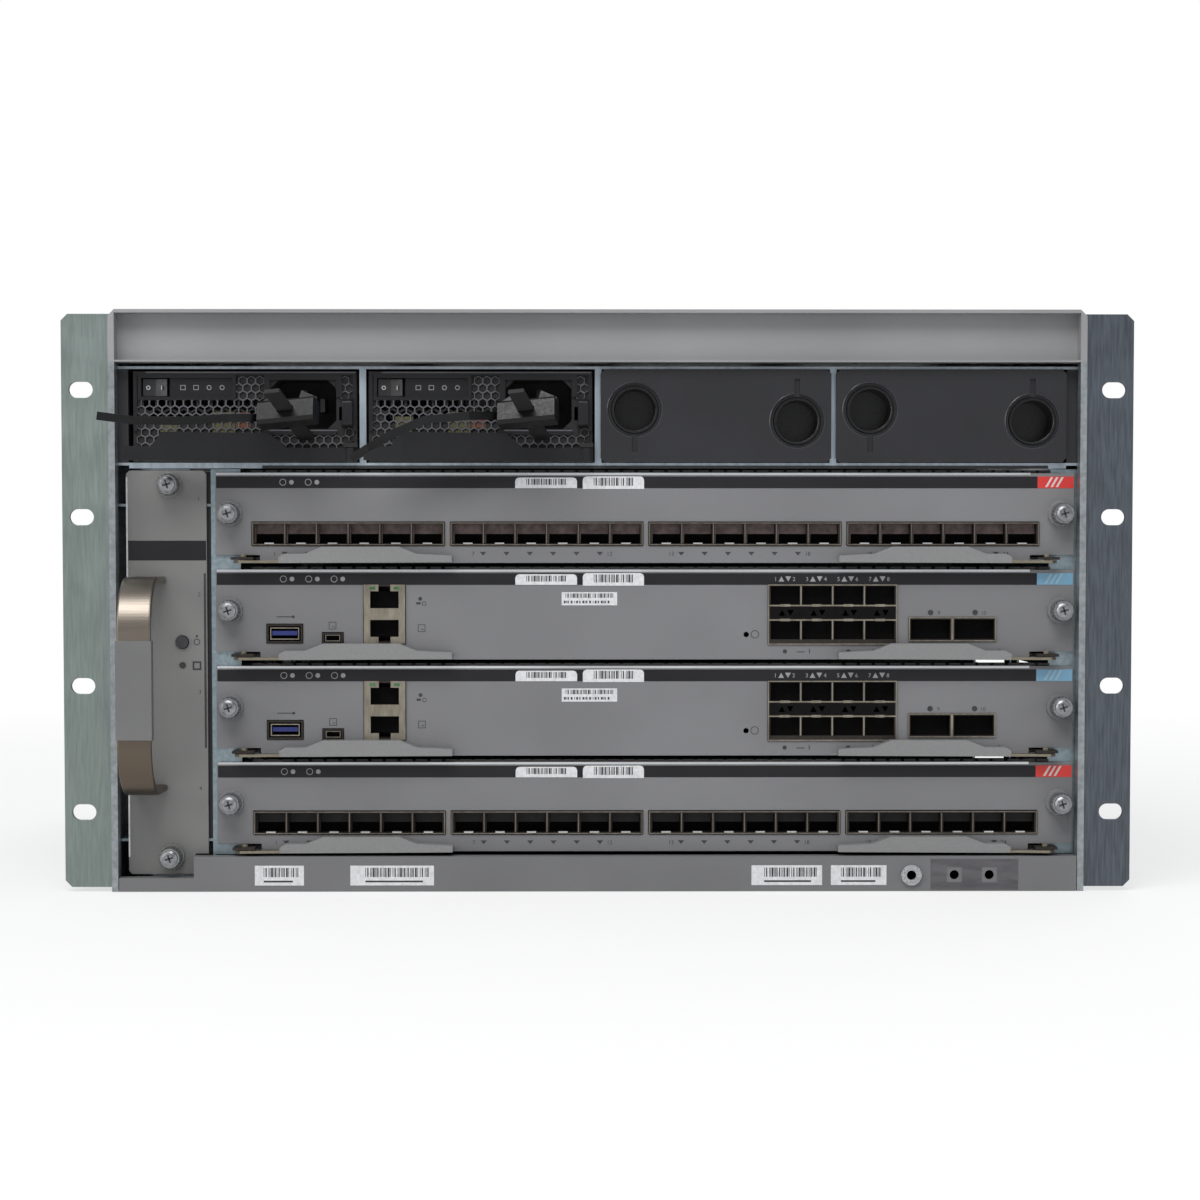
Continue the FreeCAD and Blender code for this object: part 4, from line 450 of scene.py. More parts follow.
upright = (1, 1, 0.07)
# one zinc in two tones: the left ear is painted light, the right ear painted shade
left_ear_painted_light = zinc_finish("left_ear_painted_light", (122, 133, 130), (136, 147, 143), upright,
                            0.42, 1100.0)
right_ear_painted_shade = zinc_finish("right_ear_painted_shade", (80, 85, 92), (98, 104, 111), upright,
                             0.4, 1100.0)
soften("rack_ear_left", 0.35, left_ear_painted_light, "chassis")
soften("rack_ear_right", 0.35, right_ear_painted_shade, "chassis")


# The bezels: pressed sheet in a smooth pale grey enamel. The upper one is a shallow
# tray whose rim catches the light, and the lower one a stepped sill with a bare patch
# for the ground lug. Stickers with plain bars lie on the sill.
def enamel_finish(name, dark, light):
    """Baked enamel with a fine orange peel and a slightly uneven tone."""
    material, tree, shader, place = start_finish(name, 0.5, 0.0, 0.4)
    grade(tree, grain(tree, place, 14.0, detail=2.0), (dark, light), shader)
    peel = grain(tree, place, 1500.0, detail=2.0)
    vary_roughness(tree, peel, 0.45, 0.57, shader)
    add_relief(tree, peel, 0.16, 0.08, shader)
    return material


def spot(origin, across, deep, up):
    """A place in metres: an origin, and millimetres across, deep and up from it."""
    return (origin[0] + across * mm, origin[1] + deep * mm, origin[2] + up * mm)


def add_block(bm, origin, across, deep, up):
    """A plate, strip or bar between pairs of limits, in millimetres from an origin."""
    low = spot(origin, across[0], deep[0], up[0])
    high = spot(origin, across[1], deep[1], up[1])
    made = bmesh.ops.create_cube(bm, size=1.0)["verts"]
    bmesh.ops.scale(bm, vec=[end - start for start, end in zip(low, high)], verts=made)
    bmesh.ops.translate(bm, vec=[(start + end) / 2 for start, end in zip(low, high)],
                        verts=made)


def build_blocks(origin, blocks):
    """Several blocks together, each given across, deep and up."""
    bm = bmesh.new()
    for across, deep, up in blocks:
        add_block(bm, origin, across, deep, up)
    return bm


bar_unit = 0.28
bar_widths = (1, 2, 1, 1, 3, 1, 2, 1, 2, 1, 1, 2, 3, 1)
sticker_sheet, print_sheet = 0.1, 0.04


def add_bars(bm, origin, across, up, front, widths=bar_widths):
    """Upright bars of plain print, their widths and gaps taken in turn."""
    left, right = across
    turn = 0
    while left < right:
        wide = widths[turn % len(widths)] * bar_unit
        add_block(bm, origin, (left, min(left + wide, right)), (front - print_sheet, front), up)
        left += wide + widths[(turn * 3 + 1) % len(widths)] * bar_unit
        turn += 1


grey_enamel = enamel_finish("grey_enamel", (108, 108, 110), (117, 117, 119))
bezel_enamel = enamel_finish("bezel_enamel", (132, 132, 133), (141, 141, 142))
sill_enamel = enamel_finish("sill_enamel", (100, 100, 101), (109, 109, 110))
sticker_paper = speckled_finish("sticker_paper", (192, 192, 194), (212, 212, 213), 700.0, 0.45,
                                relief=(0.08, 0.05))
print_ink = speckled_finish("print_ink", (34, 34, 36), (52, 52, 54), 900.0, 0.5,
                            relief=(0.06, 0.03))
bare_metal = speckled_finish("bare_metal", (92, 90, 93), (112, 110, 113), 300.0, 0.5, 0.9,
                             stretch=(0.2, 1, 1))
soften("top_bezel", 0.5, bezel_enamel, "chassis", 3)
soften("bottom_bezel", 0.35, sill_enamel, "chassis")

sill = Vector((0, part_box("bottom_bezel")[0].y, 0))
paper, ink = bmesh.new(), bmesh.new()
for left, width in ((-155.4, 22.2), (-112.2, 37.8), (69.4, 32.0), (105.4, 25.2)):
    right = left + width
    bars_left = left + width * 0.18
    add_block(paper, sill, (left, right), (-sticker_sheet, 0.3), (2.8, 11.8))
    add_bars(ink, sill, (bars_left, right - 2.4), (6.6, 10.8), -sticker_sheet)
    add_block(ink, sill, (bars_left, right - 5), (-sticker_sheet - print_sheet, -sticker_sheet),
              (4.2, 5.0))
finish_piece("sill_stickers", paper, sticker_paper, "chassis")
finish_piece("sill_sticker_bars", ink, print_ink, "chassis")

# the bare patch, left open round the two lug holes
jack_low, jack_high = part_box("esd_jack")
hole_height = (jack_low.z + jack_high.z) / 2 / mm
hole_reach = 3.4
lug_holes = (161.4, 177.28)
patch_low, patch_high, patch_deep = 0.6, 14.6, (-0.05, 0.3)
whole = [(patch_low, patch_high)]
round_hole = [(patch_low, hole_height - hole_reach), (hole_height + hole_reach, patch_high)]
edges = [150.6, *(hole + side * hole_reach for hole in lug_holes for side in (-1, 1)), 190.4]
patch = [(across, patch_deep, up)
         for column, across in enumerate(zip(edges, edges[1:]))
         for up in (round_hole if column % 2 else whole)]
finish_piece("ground_patch", build_blocks(sill, patch), bare_metal, "chassis")


# Behind the card slots stands the backplane. Dark trim strips close the sides of the power
# bays, and dark strips of painted shade close the cracks beside the fan tray and under the
# bay shelf. All are matt, so that the slots read as deep shade.
def moulded_finish(name, dark, light, roughness=0.45, texture=1100.0, strength=0.18,
                   specular=0.45):
    """Moulded plastic with the fine spark texture of its tool."""
    material, tree, shader, place = start_finish(name, roughness, 0.0, specular)
    grade(tree, grain(tree, place, 22.0), (dark, light), shader)
    sparks = grain(tree, place, texture, detail=2.0)
    vary_roughness(tree, sparks, roughness - 0.06, roughness + 0.08, shader)
    add_relief(tree, sparks, strength, 0.06, shader)
    return material


board_green = moulded_finish("board_green", (24, 58, 40), (34, 76, 52), 0.4)
trim_black = moulded_finish("trim_black", (33, 33, 36), (42, 42, 45), 0.5)
dress(board_green, "backplane")
dress(trim_black, "bay_trims")

shelf_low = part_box("psu_cage")[0]
# near-black strips over the cracks, painted shade
for painted_shade_strip, origin, block in (
        ("tray_side_painted_shade_strip", (0, 0, 0), ((-178.5, -175.7), (-193.0, -191.6), (22.0, 190.0))),
        ("shelf_painted_shade_strip", (0, shelf_low.y, shelf_low.z),
         ((-152.0, 204.0), (-0.15, 0.3), (-0.02, 1.3)))):
    finish_piece(painted_shade_strip, build_blocks(origin, [block]), trim_black, "chassis")


# The four cards: enamelled faceplates with a black legend strip along the top, and a
# folded edge above it whose bend is a near-white strip of painted highlight. Line cards
# carry twenty-four ports in four gangs, and the two supervisors a stack of eight, two wide
# ports and the control sockets.
cards = ("line_card_1", "supervisor_2", "supervisor_3", "line_card_4")
plate_low, plate_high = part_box("line_card_1_faceplate")
collar_length = 2.4
card_front = plate_low.y + collar_length * mm
card_left, card_right = plate_low.x / mm, plate_high.x / mm
card_height = 40.7
strip_low, strip_high = 33.9, 39.2
legend_height = (strip_low + strip_high) / 2
edge_inset = 0.4
badge_left, badge_right = card_right - 16.8, card_right - edge_inset
stripe_pitch, stripe_width, stripe_lean = 2.4, 1.1, 2.6
finger_count, finger_pitch = 54, 6.75
lamp_first, lamp_pitch = -142.8, 11.5
pair_first, pair_pitch, print_tall = 80.6, 14.3, 1.9
skin = -0.12

lengthwise = (0.05, 1, 1)
legend_black = moulded_finish("legend_black", (20, 19, 22), (28, 27, 31), 0.42, specular=0.3)
pale_ink = moulded_finish("pale_ink", (132, 131, 134), (150, 149, 152), 0.5)
badge_red = moulded_finish("badge_red", (186, 44, 40), (204, 56, 50), 0.4)
badge_blue = moulded_finish("badge_blue", (102, 146, 172), (118, 160, 186), 0.4)
pale_blue = moulded_finish("pale_blue", (136, 166, 184), (150, 180, 196), 0.4)
badge_stripe = moulded_finish("badge_stripe", (196, 176, 174), (212, 192, 190), 0.4)
# near-white zinc, used as a painted highlight on the folded edges. The latch tongues take it too,
# which is partly their own bright steel and partly painted highlight.
painted_highlight_zinc = zinc_finish("painted_highlight_zinc", (188, 190, 192), (214, 216, 218), lengthwise, 0.3)
# near-black for the shield fingers and the cage collars: painted shade in the gaps they sit in
gasket_painted_shade = moulded_finish("gasket_painted_shade", (24, 23, 24), (36, 35, 36), 0.45)


def split_finish(name, axis, edge, side, first, second, roughness=0.42):
    """Two pairs of tones, the second one metallic, that change over past an edge."""
    material, tree, shader, place = start_finish(name, roughness)
    parts = add_node(tree, "ShaderNodeSeparateXYZ", {"Vector": place})
    past = add_node(tree, "ShaderNodeMath", {0: parts.outputs[axis], 1: edge},
                    "GREATER_THAN" if side > 0 else "LESS_THAN")
    noise = grain(tree, place, 800.0)
    blend = tree.nodes.new("ShaderNodeMix")
    blend.data_type = "RGBA"
    tree.links.new(past.outputs["Value"], blend.inputs["Factor"])
    tones = [entry for entry in blend.inputs if entry.type == "RGBA"]
    for socket, pair in zip(tones, (first, second)):
        ramp = add_node(tree, "ShaderNodeValToRGB", {"Fac": noise})
        for element, tone in zip(ramp.color_ramp.elements, pair):
            element.color = colour(*tone)
        tree.links.new(ramp.outputs["Color"], socket)
    result = [entry for entry in blend.outputs if entry.type == "RGBA"][0]
    tree.links.new(result, shader.inputs["Base Color"])
    tree.links.new(past.outputs["Value"], shader.inputs["Metallic"])
    add_relief(tree, noise, 0.12, 0.06, shader)
    return material


# within 50 mm of the plate the board turns metallic and dark brown: painted shade inside the port
# cages
cage_reach = 50 * mm
solder_mask, cage_painted_shade = ((22, 54, 38), (32, 70, 48)), ((50, 46, 44), (72, 68, 65))
board_finish = split_finish("board_finish", "Y", card_front + cage_reach, -1, solder_mask,
                            cage_painted_shade, 0.5)


def round_points(centre, radius, sides, turn=0.0):
    """Points round an upright face. A turn of 0.5 goes on by half a side."""
    angles = [2 * math.pi * (side + turn) / sides for side in range(sides)]
    return [(centre[0] + radius * math.cos(angle), centre[1] + radius * math.sin(angle))
            for angle in angles]


def add_ring(bm, origin, centre, radius, wide, front, sides=16):
    """A thin printed ring on an upright face."""
    bridge(bm, [[bm.verts.new(spot(origin, across, front, up))
                 for across, up in round_points(centre, reach, sides)]
                for reach in (radius - wide, radius)])


def add_prism(bm, origin, points, deep):
    """An upright outline drawn out between two depths."""
    near, far = [[bm.verts.new(spot(origin, across, depth, up)) for across, up in points]
                 for depth in deep]
    bm.faces.new(near)
    bm.faces.new(far[::-1])
    bridge(bm, [far, near])


def add_disc(bm, origin, centre, radius, deep, sides=14):
    """A printed dot, or a round plug."""
    add_prism(bm, origin, round_points(centre, radius, sides), deep)


def add_number(bm, origin, number, height, across, up, front):
    """A printed number, centred on its place."""
    curve = bpy.data.curves.new("number", "FONT")
    curve.body = str(number)
    curve.size = height * 1.4 * mm
    curve.align_x = "CENTER"
    curve.resolution_u = 2
    mesh = bake_modifiers(link_object("number", curve))
    bpy.data.curves.remove(curve)
    upright_face = Matrix.Rotation(math.pi / 2, 4, "X")
    place = spot(origin, across, front, up - height / 2)
    mesh.transform(Matrix.Translation(place) @ upright_face)
    bm.from_mesh(mesh)
    bpy.data.meshes.remove(mesh)


def add_arrow(bm, origin, across, up, wide, tall, front, way):
    """A printed triangle that points up or down."""
    foot, tip = up - way * tall / 2, up + way * tall / 2
    points = [(across - wide / 2, foot), (across + wide / 2, foot), (across, tip)]
    add_prism(bm, origin, points[::way], (front, front + print_sheet))


def add_frame(bm, origin, across, up, wide, deep):
    """A flat frame round an opening, of four strips."""
    (left, right), (low, high) = across, up
    add_block(bm, origin, (left - wide, right + wide), deep, (high, high + wide))
    add_block(bm, origin, (left - wide, right + wide), deep, (low - wide, low))
    add_block(bm, origin, (left - wide, left), deep, up)
    add_block(bm, origin, (right, right + wide), deep, up)


def add_sticker(bm, origin, across, up, corner, deep):
    """A sticker with its two upper corners cut round."""
    (left, right), (low, high) = across, up
    nick = corner * 0.3
    points = [(left, low), (right, low), (right, high - corner), (right - nick, high - nick),
              (right - corner, high), (left + corner, high), (left + nick, high - nick),
              (left, high - corner)]
    add_prism(bm, origin, points, deep)


for card in cards:
    origin = (0, card_front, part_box(f"{card}_faceplate")[0].z)
    is_supervisor = card.startswith("supervisor")
    soften(f"{card}_faceplate", 0.25, grey_enamel, card)
    dress(board_finish, f"{card}_board")

    strip, badge = [build_blocks(origin, [(across, (skin, 0.2), (strip_low, strip_high))])
                    for across in ((card_left + edge_inset, badge_left),
                                   (badge_left, badge_right))]
    stripes = bmesh.new()
    for stripe in range(3):
        left, foot, head = (badge_left + 3.4 + stripe * stripe_pitch, strip_low + 0.5,
                            strip_high - 0.3)
        right = left + stripe_width
        points = [(left, foot), (right, foot), (right + stripe_lean, head),
                  (left + stripe_lean, head)]
        add_prism(stripes, origin, points, (skin - print_sheet, skin))
    finish_piece(f"{card}_legend_strip", strip, legend_black, card)
    finish_piece(f"{card}_badge", badge, badge_blue if is_supervisor else badge_red, card)
    finish_piece(f"{card}_badge_stripes", stripes, pale_blue if is_supervisor else badge_stripe,
                 card)

    # the bend of the top fold: a near-white strip of painted highlight
    edge = build_blocks(origin, [((card_left + edge_inset, card_right - 20), (-0.25, 0.6),
                                  (card_height - 0.9, card_height + 0.12))])
    finish_piece(f"{card}_folded_edge", edge, painted_highlight_zinc, card)

    # the finger strip of the shield: short sprung fingers in a row along the top fold, painted
    # near-black as painted shade in the gap between the cards
    finger = build_blocks(origin, [((card_left + 16, card_left + 21.2), (1.4, 2.2),
                                    (card_height + 0.1, card_height + 1.35))])
    fingers = repeat_piece(finger, gasket_painted_shade, finger_count, (finger_pitch * mm, 0, 0))
    place_piece(f"{card}_shield_fingers", fingers, gasket_painted_shade, card)

    # stickers on the legend strip, and one more on a supervisor's plate
    stickers, bars = bmesh.new(), bmesh.new()
    for left, right, low, high in ((-37.6, -9.6, strip_low, strip_high - 0.5),
                                   (-7.0, 20.8, strip_low - 0.4, strip_high)):
        add_sticker(stickers, origin, (left, right), (low, high), 1.6,
                    (skin - sticker_sheet, skin))
        add_bars(bars, origin, (left + 5, right - 5), (low + 1.5, high - 0.6),
                 skin - sticker_sheet)
    if is_supervisor:
        add_block(stickers, origin, (-16.6, 8.6), (-sticker_sheet, 0.2), (24.6, 30.6))
        add_bars(bars, origin, (-14.8, 6.8), (28.0, 30.0), -sticker_sheet)
        add_bars(bars, origin, (-15.6, 6.0), (25.5, 26.7), -sticker_sheet, (3, 1, 2, 3, 1, 3, 2))
    finish_piece(f"{card}_stickers", stickers, sticker_paper, card)
    finish_piece(f"{card}_sticker_bars", bars, print_ink, card)

    # lamps, numbers and arrows printed pale on the strip
    signs = bmesh.new()
    sign_front = skin - print_sheet
    for lamp in range(3 if is_supervisor else 2):
        across = lamp_first + lamp * lamp_pitch
        add_ring(signs, origin, (across, legend_height), 1.55, 0.3, sign_front)
        add_disc(signs, origin, (across + 3.9, legend_height), 1.1, (sign_front, skin), 10)
    for pair in range(4 if is_supervisor else 0):
        across = pair_first + pair * pair_pitch
        for number, step in ((pair * 2 + 1, 0), (pair * 2 + 2, 8.3)):
            add_number(signs, origin, number, print_tall, across + step, legend_height,
                       sign_front)
        for way, step in ((1, 2.6), (-1, 5.7)):
            add_arrow(signs, origin, across + step, legend_height, 2.6, 2.4, sign_front, way)
    finish_piece(f"{card}_legends", signs, pale_ink, card)


# Line card ports: each gang is one bent cage whose rim stands just proud of the plate.
# A sprung collar closes the gap round it, painted near-black as painted shade in that gap.
# A flap hangs in the upper half of every port, a latch tongue lies on its sill, and arrows
# and numbers are printed below.
gang_first, gang_pitch, gang_width = -156.8, 89.95, 87.0
gang_low, gang_high = 8.0, 18.4
port_pitch, port_width, port_tall = 14.33, 13.2, 8.8
port_low = (gang_low + gang_high - port_tall) / 2
gang_margin = (gang_width - port_pitch * 5 - port_width) / 2
rim_front = -0.75
port_zinc = zinc_finish("port_zinc", (112, 104, 94), (140, 132, 120), (1, 1, 0.2), 0.35)
port_shade = speckled_finish("port_shade", (6, 5, 5), (12, 10, 10), 400.0, 0.8, 0.0, 0.15)
# the flaps of the two line cards are one part in two tones: the upper card's are painted lighter
# as painted light, and the lower card's near-black as painted shade
flap_painted_light = speckled_finish("flap_painted_light", (74, 63, 61), (108, 94, 91), 260.0, 0.5, 0.55)
flap_painted_shade = speckled_finish("flap_painted_shade", (14, 12, 11), (30, 26, 25), 260.0, 0.6, 0.3)

for card, flap_light_and_shade in (("line_card_1", flap_painted_light), ("line_card_4", flap_painted_shade)):
    origin = (0, card_front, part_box(f"{card}_faceplate")[0].z)
    lefts = [gang_first + gang * gang_pitch for gang in range(4)]

    # the cages' rims, and the collars behind the plate
    rims, collars = bmesh.new(), bmesh.new()
    for left in lefts:
        right = left + gang_width
        add_frame(rims, origin, (left + 0.35, right - 0.35), (gang_low + 0.45, gang_high - 0.45),
                  0.35, (rim_front, -0.3))
        add_frame(collars, origin, (left + 0.3, right - 0.3), (gang_low + 0.3, gang_high - 0.3),
                  1.6, (1.3, 1.7))

    # what repeats along a gang, its blocks measured from the first port's lower corner
    parts = (
        ("cage_rims", port_zinc, "zinc_sheet", 5,
         [((port_width + 0.42, port_pitch - 0.42), (rim_front, 0), (0, port_tall))]),
        ("hanging_flaps", flap_light_and_shade, "zinc_sheet", 6,
         [((0.2, port_width - 0.2), (4.0, 4.4), (port_tall * 0.5, port_tall)),
          ((0.1, 0.5), (1.2, 4.4), (0.2, port_tall - 0.2))]),
        # a near-black sheet deep in the lower half of each port, painted shade
        ("socket_painted_shade", port_shade, "dark_plastic", 6,
         [((0.2, port_width - 0.2), (9.0, 9.4), (0.1, port_tall * 0.5))]),
        ("latch_tongues", painted_highlight_zinc, "zinc_sheet", 6,
         [((4.6, 8.8), (rim_front - 0.15, 2.0), (-0.15, 0.4))]))
    for part, material, slot, count, blocks in parts:
        meshes = [take_mesh("rims", rims)] if part == "cage_rims" else []
        for left in lefts:
            first_port = spot(origin, left + gang_margin, 0, port_low)
            meshes.append(repeat_piece(build_blocks(first_port, blocks), material, count,
                                       (port_pitch * mm, 0, 0)))
        finish_piece(f"{card}_{part}", join_meshes(meshes), material, card)

    marks = bmesh.new()
    mark_height = 4.2
    for gang, left in enumerate(lefts):
        for port, step in ((1, 10.1), (6, 72.0)):
            add_number(marks, origin, gang * 6 + port, print_tall, left + step, mark_height,
                       -print_sheet)
        for arrow in range(6):
            add_arrow(marks, origin, left + 14.6 + arrow * 10.6, mark_height, 2.9, 1.7,
                      -print_sheet, -1)
    finish_piece(f"{card}_port_marks", marks, print_ink, card)
    finish_piece(f"{card}_cage_collars", collars, gasket_painted_shade, card)


# Supervisor sockets: two network jacks in one shield with green lamps, a USB socket
# with a blue tongue, a small console socket, a stack of eight ports with a marked band
# between its rows, and two wide ports side by side.
usb_blue = moulded_finish("usb_blue", (24, 34, 92), (36, 48, 116), 0.4)
lamp_green = moulded_finish("lamp_green", (46, 84, 52), (70, 116, 76), 0.3)
jack_shield = zinc_finish("jack_shield", (126, 119, 107), (154, 147, 134), (1, 1, 0.3), 0.42)
print_deep = (-print_sheet, 0)
for card in ("supervisor_2", "supervisor_3"):
    origin = (0, card_front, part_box(f"{card}_faceplate")[0].z)
    shade, shield, green, ink = (bmesh.new() for _ in range(4))

    # the network jacks
    middle, opening, shield_reach = -97.0, 6.45, 9.4
    low, lower, upper, high = 7.3, 10.3, 31.0, 34.0
    socket_tall = 7.7
    shield_deep = (-0.85, -0.5)
    add_block(shield, origin, (middle - opening, middle + opening), shield_deep,
              (lower + socket_tall, upper - socket_tall))
    for side in (-1, 1):
        columns = sorted((middle + side * opening, middle + side * shield_reach))
        steps = sorted((middle + side * 2.7, middle + side * opening))
        lamps = sorted((middle + side * 4.2, middle + side * 6.8))
        add_block(shield, origin, columns, shield_deep, (low, high))
        add_block(shield, origin, steps, shield_deep, (low, lower))
        add_block(shield, origin, steps, shield_deep, (upper, high))
        add_block(green, origin, lamps, (-1.0, -0.5), (high - 2.3, high - 0.9))
    for foot in (lower, upper - socket_tall):
        add_block(shade, origin, (middle - opening, middle + opening), (5.0, 5.3),
                  (foot, foot + socket_tall))

    # the USB socket and the console socket
    add_block(shade, origin, (-149.5, -135.1), (4.6, 5.0), (8.5, 15.1))
    add_frame(shield, origin, (-148.4, -136.2), (9.5, 14.1), 0.45, (-0.3, 4.0))
    blue = build_blocks(origin, [((-148.0, -136.6), (0.4, 4.6), (11.0, 13.0))])
    add_block(shade, origin, (-124.4, -116.7), (3.0, 3.3), (8.0, 11.4))
    add_frame(shield, origin, (-123.6, -117.5), (8.6, 10.9), 0.3, (-0.2, 3.0))

    # the stack of eight ports: each row's lip lies beside the band, which both rows mark
    left, right, low, high = 77.3, 135.7, 6.9, 33.9
    stack_pitch = 14.4
    margin = (right - left - stack_pitch * 3 - port_width) / 2
    add_frame(shield, origin, (left + 0.3, right - 0.3), (low + 0.3, high - 0.3), 0.45,
              (rim_front, -0.3))
    add_block(shade, origin, (left + 0.8, right - 0.8), (rim_front + 0.05, -0.55),
              (low + 11.6, low + 17.0))
    for row_low, lip in ((low + 2.2, low + 2.2 + port_tall), (low + 17.6, low + 17.6)):
        row = (row_low, row_low + port_tall)
        add_block(shield, origin, (left, right), (rim_front - 0.05, -0.3), (lip - 0.3, lip + 0.3))
        for port in range(4):
            port_left = left + margin + port * stack_pitch
            gap_left = port_left + port_width
            add_block(shade, origin, (port_left + 0.1, gap_left - 0.1), (5.0, 5.3), row)
            add_block(shield, origin, (port_left + 4.4, port_left + 8.8),
                      (rim_front - 0.15, -0.3), (lip - 0.5, lip + 0.6))
            if port < 3:
                add_block(shield, origin, (gap_left + 0.3, gap_left + 0.9), (rim_front, -0.3),
                          row)
            for step, way in ((5.2, 1), (9.0, -1)):
                add_arrow(ink, origin, port_left + step, low + 14.3, 2.9, 2.6,
                          rim_front - print_sheet, way)

    # the wide ports, with a lamp and a number over each
    left, right, low, high = 141.3, 180.7, 8.4, 19.0
    middle = (left + right) / 2
    add_frame(shield, origin, (left + 0.3, right - 0.3), (low + 0.3, high - 0.3), 0.45,
              (rim_front, -0.3))
    add_block(shield, origin, (middle - 0.5, middle + 0.5), (rim_front, 0), (low, high))
    for number, across in ((9, left), (10, middle + 0.6)):
        add_block(shade, origin, (across + 0.8, across + 18.4), (6.0, 6.3),
                  (low + 0.8, high - 0.8))
        add_disc(ink, origin, (across + 9.8, 21.3), 1.3, print_deep)
        add_number(ink, origin, number, 1.8, across + 13.6, 21.2, -print_sheet)

    # plain marks under the ports and beside the sockets, and the reset hole's ring
    for across in (84.9, 113.8, 151.2, 171.5):
        add_disc(ink, origin, (across, 3.6), 1.0, print_deep)
        add_block(ink, origin, (across + 5.4, across + 9.0), print_deep, (3.2, 3.6))
        add_block(ink, origin, (across + 11.0, across + 11.4), print_deep, (2.6, 4.8))
    for across, up in ((-80.2, 14.2), (-120.6, 15.4)):
        add_frame(ink, origin, (across - 1.4, across + 1.4), (up - 1.4, up + 1.4), 0.3,
                  print_deep)
        add_block(ink, origin, (across - 0.2, across + 0.9), print_deep, (up - 0.7, up - 0.3))
    for centre, radius, wide in (((71.2, 11.4), 1.9, 0.35), ((-79.0, 25.4), 1.0, 0.3)):
        add_ring(ink, origin, centre, radius, wide, -print_sheet)
    for centre, radius, sides in (((-80.8, 27.6), 0.9, 14), ((-138.4, 19.4), 0.7, 8)):
        add_disc(ink, origin, centre, radius, print_deep, sides)
    for across, up in (((-82.6, -80.6), (25.0, 26.0)), ((-146.0, -138.6), (19.2, 19.6))):
        add_block(ink, origin, across, print_deep, up)

    finish_piece(f"{card}_socket_shields", shield, jack_shield, card)
    finish_piece(f"{card}_socket_depths", shade, port_shade, card)
    finish_piece(f"{card}_usb_tongue", blue, usb_blue, card)
    finish_piece(f"{card}_jack_lamps", green, lamp_green, card)
    finish_piece(f"{card}_socket_marks", ink, print_ink, card)


# Ejector levers: a stamped steel cam under a long grip moulded in pale grey plastic.
# The grip starts a little way along the arm, so the steel shows at the pivot end.
pivot_inset, grip_start = 12.9, 16.5
lever_grey, lever_steel = ((114, 114, 114), (128, 128, 128)), ((122, 116, 102), (158, 150, 134))
for word, pivot, side in (("left", card_left + pivot_inset, -1),
                          ("right", card_right - pivot_inset, 1)):
    lever_finish = split_finish(f"lever_{word}_finish", "X", (pivot - side * grip_start) * mm,
                                side, lever_grey, lever_steel)
    for card in cards:
        lever = f"{card}_lever_{word}"
        soften(lever, 0.45, lever_finish, lever, 3)


# Captive screws: turned and nickelled, with a knurled rim, a stepped crown and a pressed
# cross slot. They stand off the plate on their collars, and stay in it when undone.
knob_nickel = speckled_finish("knob_nickel", (126, 127, 129), (156, 157, 159), 500.0, 0.34,
                              0.9, spread=(0.28, 0.44))
slot_shade = moulded_finish("slot_shade", (34, 36, 40), (50, 52, 56), 0.5)
slot_turn, slot_reach, slot_half = 0.3, 1.9, 0.38
shank, rim_back, rim_ahead, knurl = 2.2, -9.0, -2.4, 0.55
knobs = [f"{card}_screw_{word}" for card in cards for word in ("left", "right")]
for node in (*knobs, "fan_tray_screw_top", "fan_tray_screw_bottom"):
    low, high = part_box(node)
    radius = (high.x - low.x) / 2 / mm
    length = (high.y - low.y) / mm
    crown = Vector(((low.x + high.x) / 2, low.y, (low.z + high.z) / 2))
    profile = [(0.2 - length, shank), (rim_back, shank), (rim_back, radius * 0.9),
               (-8.6, radius), (rim_ahead, radius), (-1.7, radius * 0.88), (-1.7, radius * 0.74),
               (-0.9, radius * 0.7), (-0.3, radius * 0.52), (-0.1, radius * 0.3)]
    knob = bmesh.new()
    turned_piece(knob, crown, (0, -1, 0), profile, 36, knurl)
    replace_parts(finish_piece(f"{node}_knob", knob, knob_nickel, node), node)
    cross = bmesh.new()
    for angle in (slot_turn, slot_turn + math.pi / 2):
        along = Vector((math.cos(angle), math.sin(angle))) * slot_reach
        beside = Vector((-math.sin(angle), math.cos(angle))) * slot_half
        corners = [-along - beside, along - beside, along + beside, beside - along]
        add_prism(cross, crown, corners, (-0.02, 0.6))
    finish_piece(f"{node}_cross_slot", cross, slot_shade, node)


# The fan tray: an enamelled plate with a black band, a pull handle of bent strap in
# satin nickel with a grey sleeve round its middle, a push button, and three plastic
# rotors behind. A slit runs up its right edge.
tray_low, tray_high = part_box("fan_tray_faceplate")
tray_left, tray_right = tray_low.x / mm, tray_high.x / mm
tray = (0, tray_low.y + collar_length * mm, 0)
tray_enamel = enamel_finish("tray_enamel", (108, 108, 107), (120, 120, 118))
soften("fan_tray_faceplate", 0.4, tray_enamel, "fan_tray")

band = build_blocks(tray, [((tray_left + 0.8, tray_right - 0.3), (-0.1, 0.2), (149.8, 158.7))])
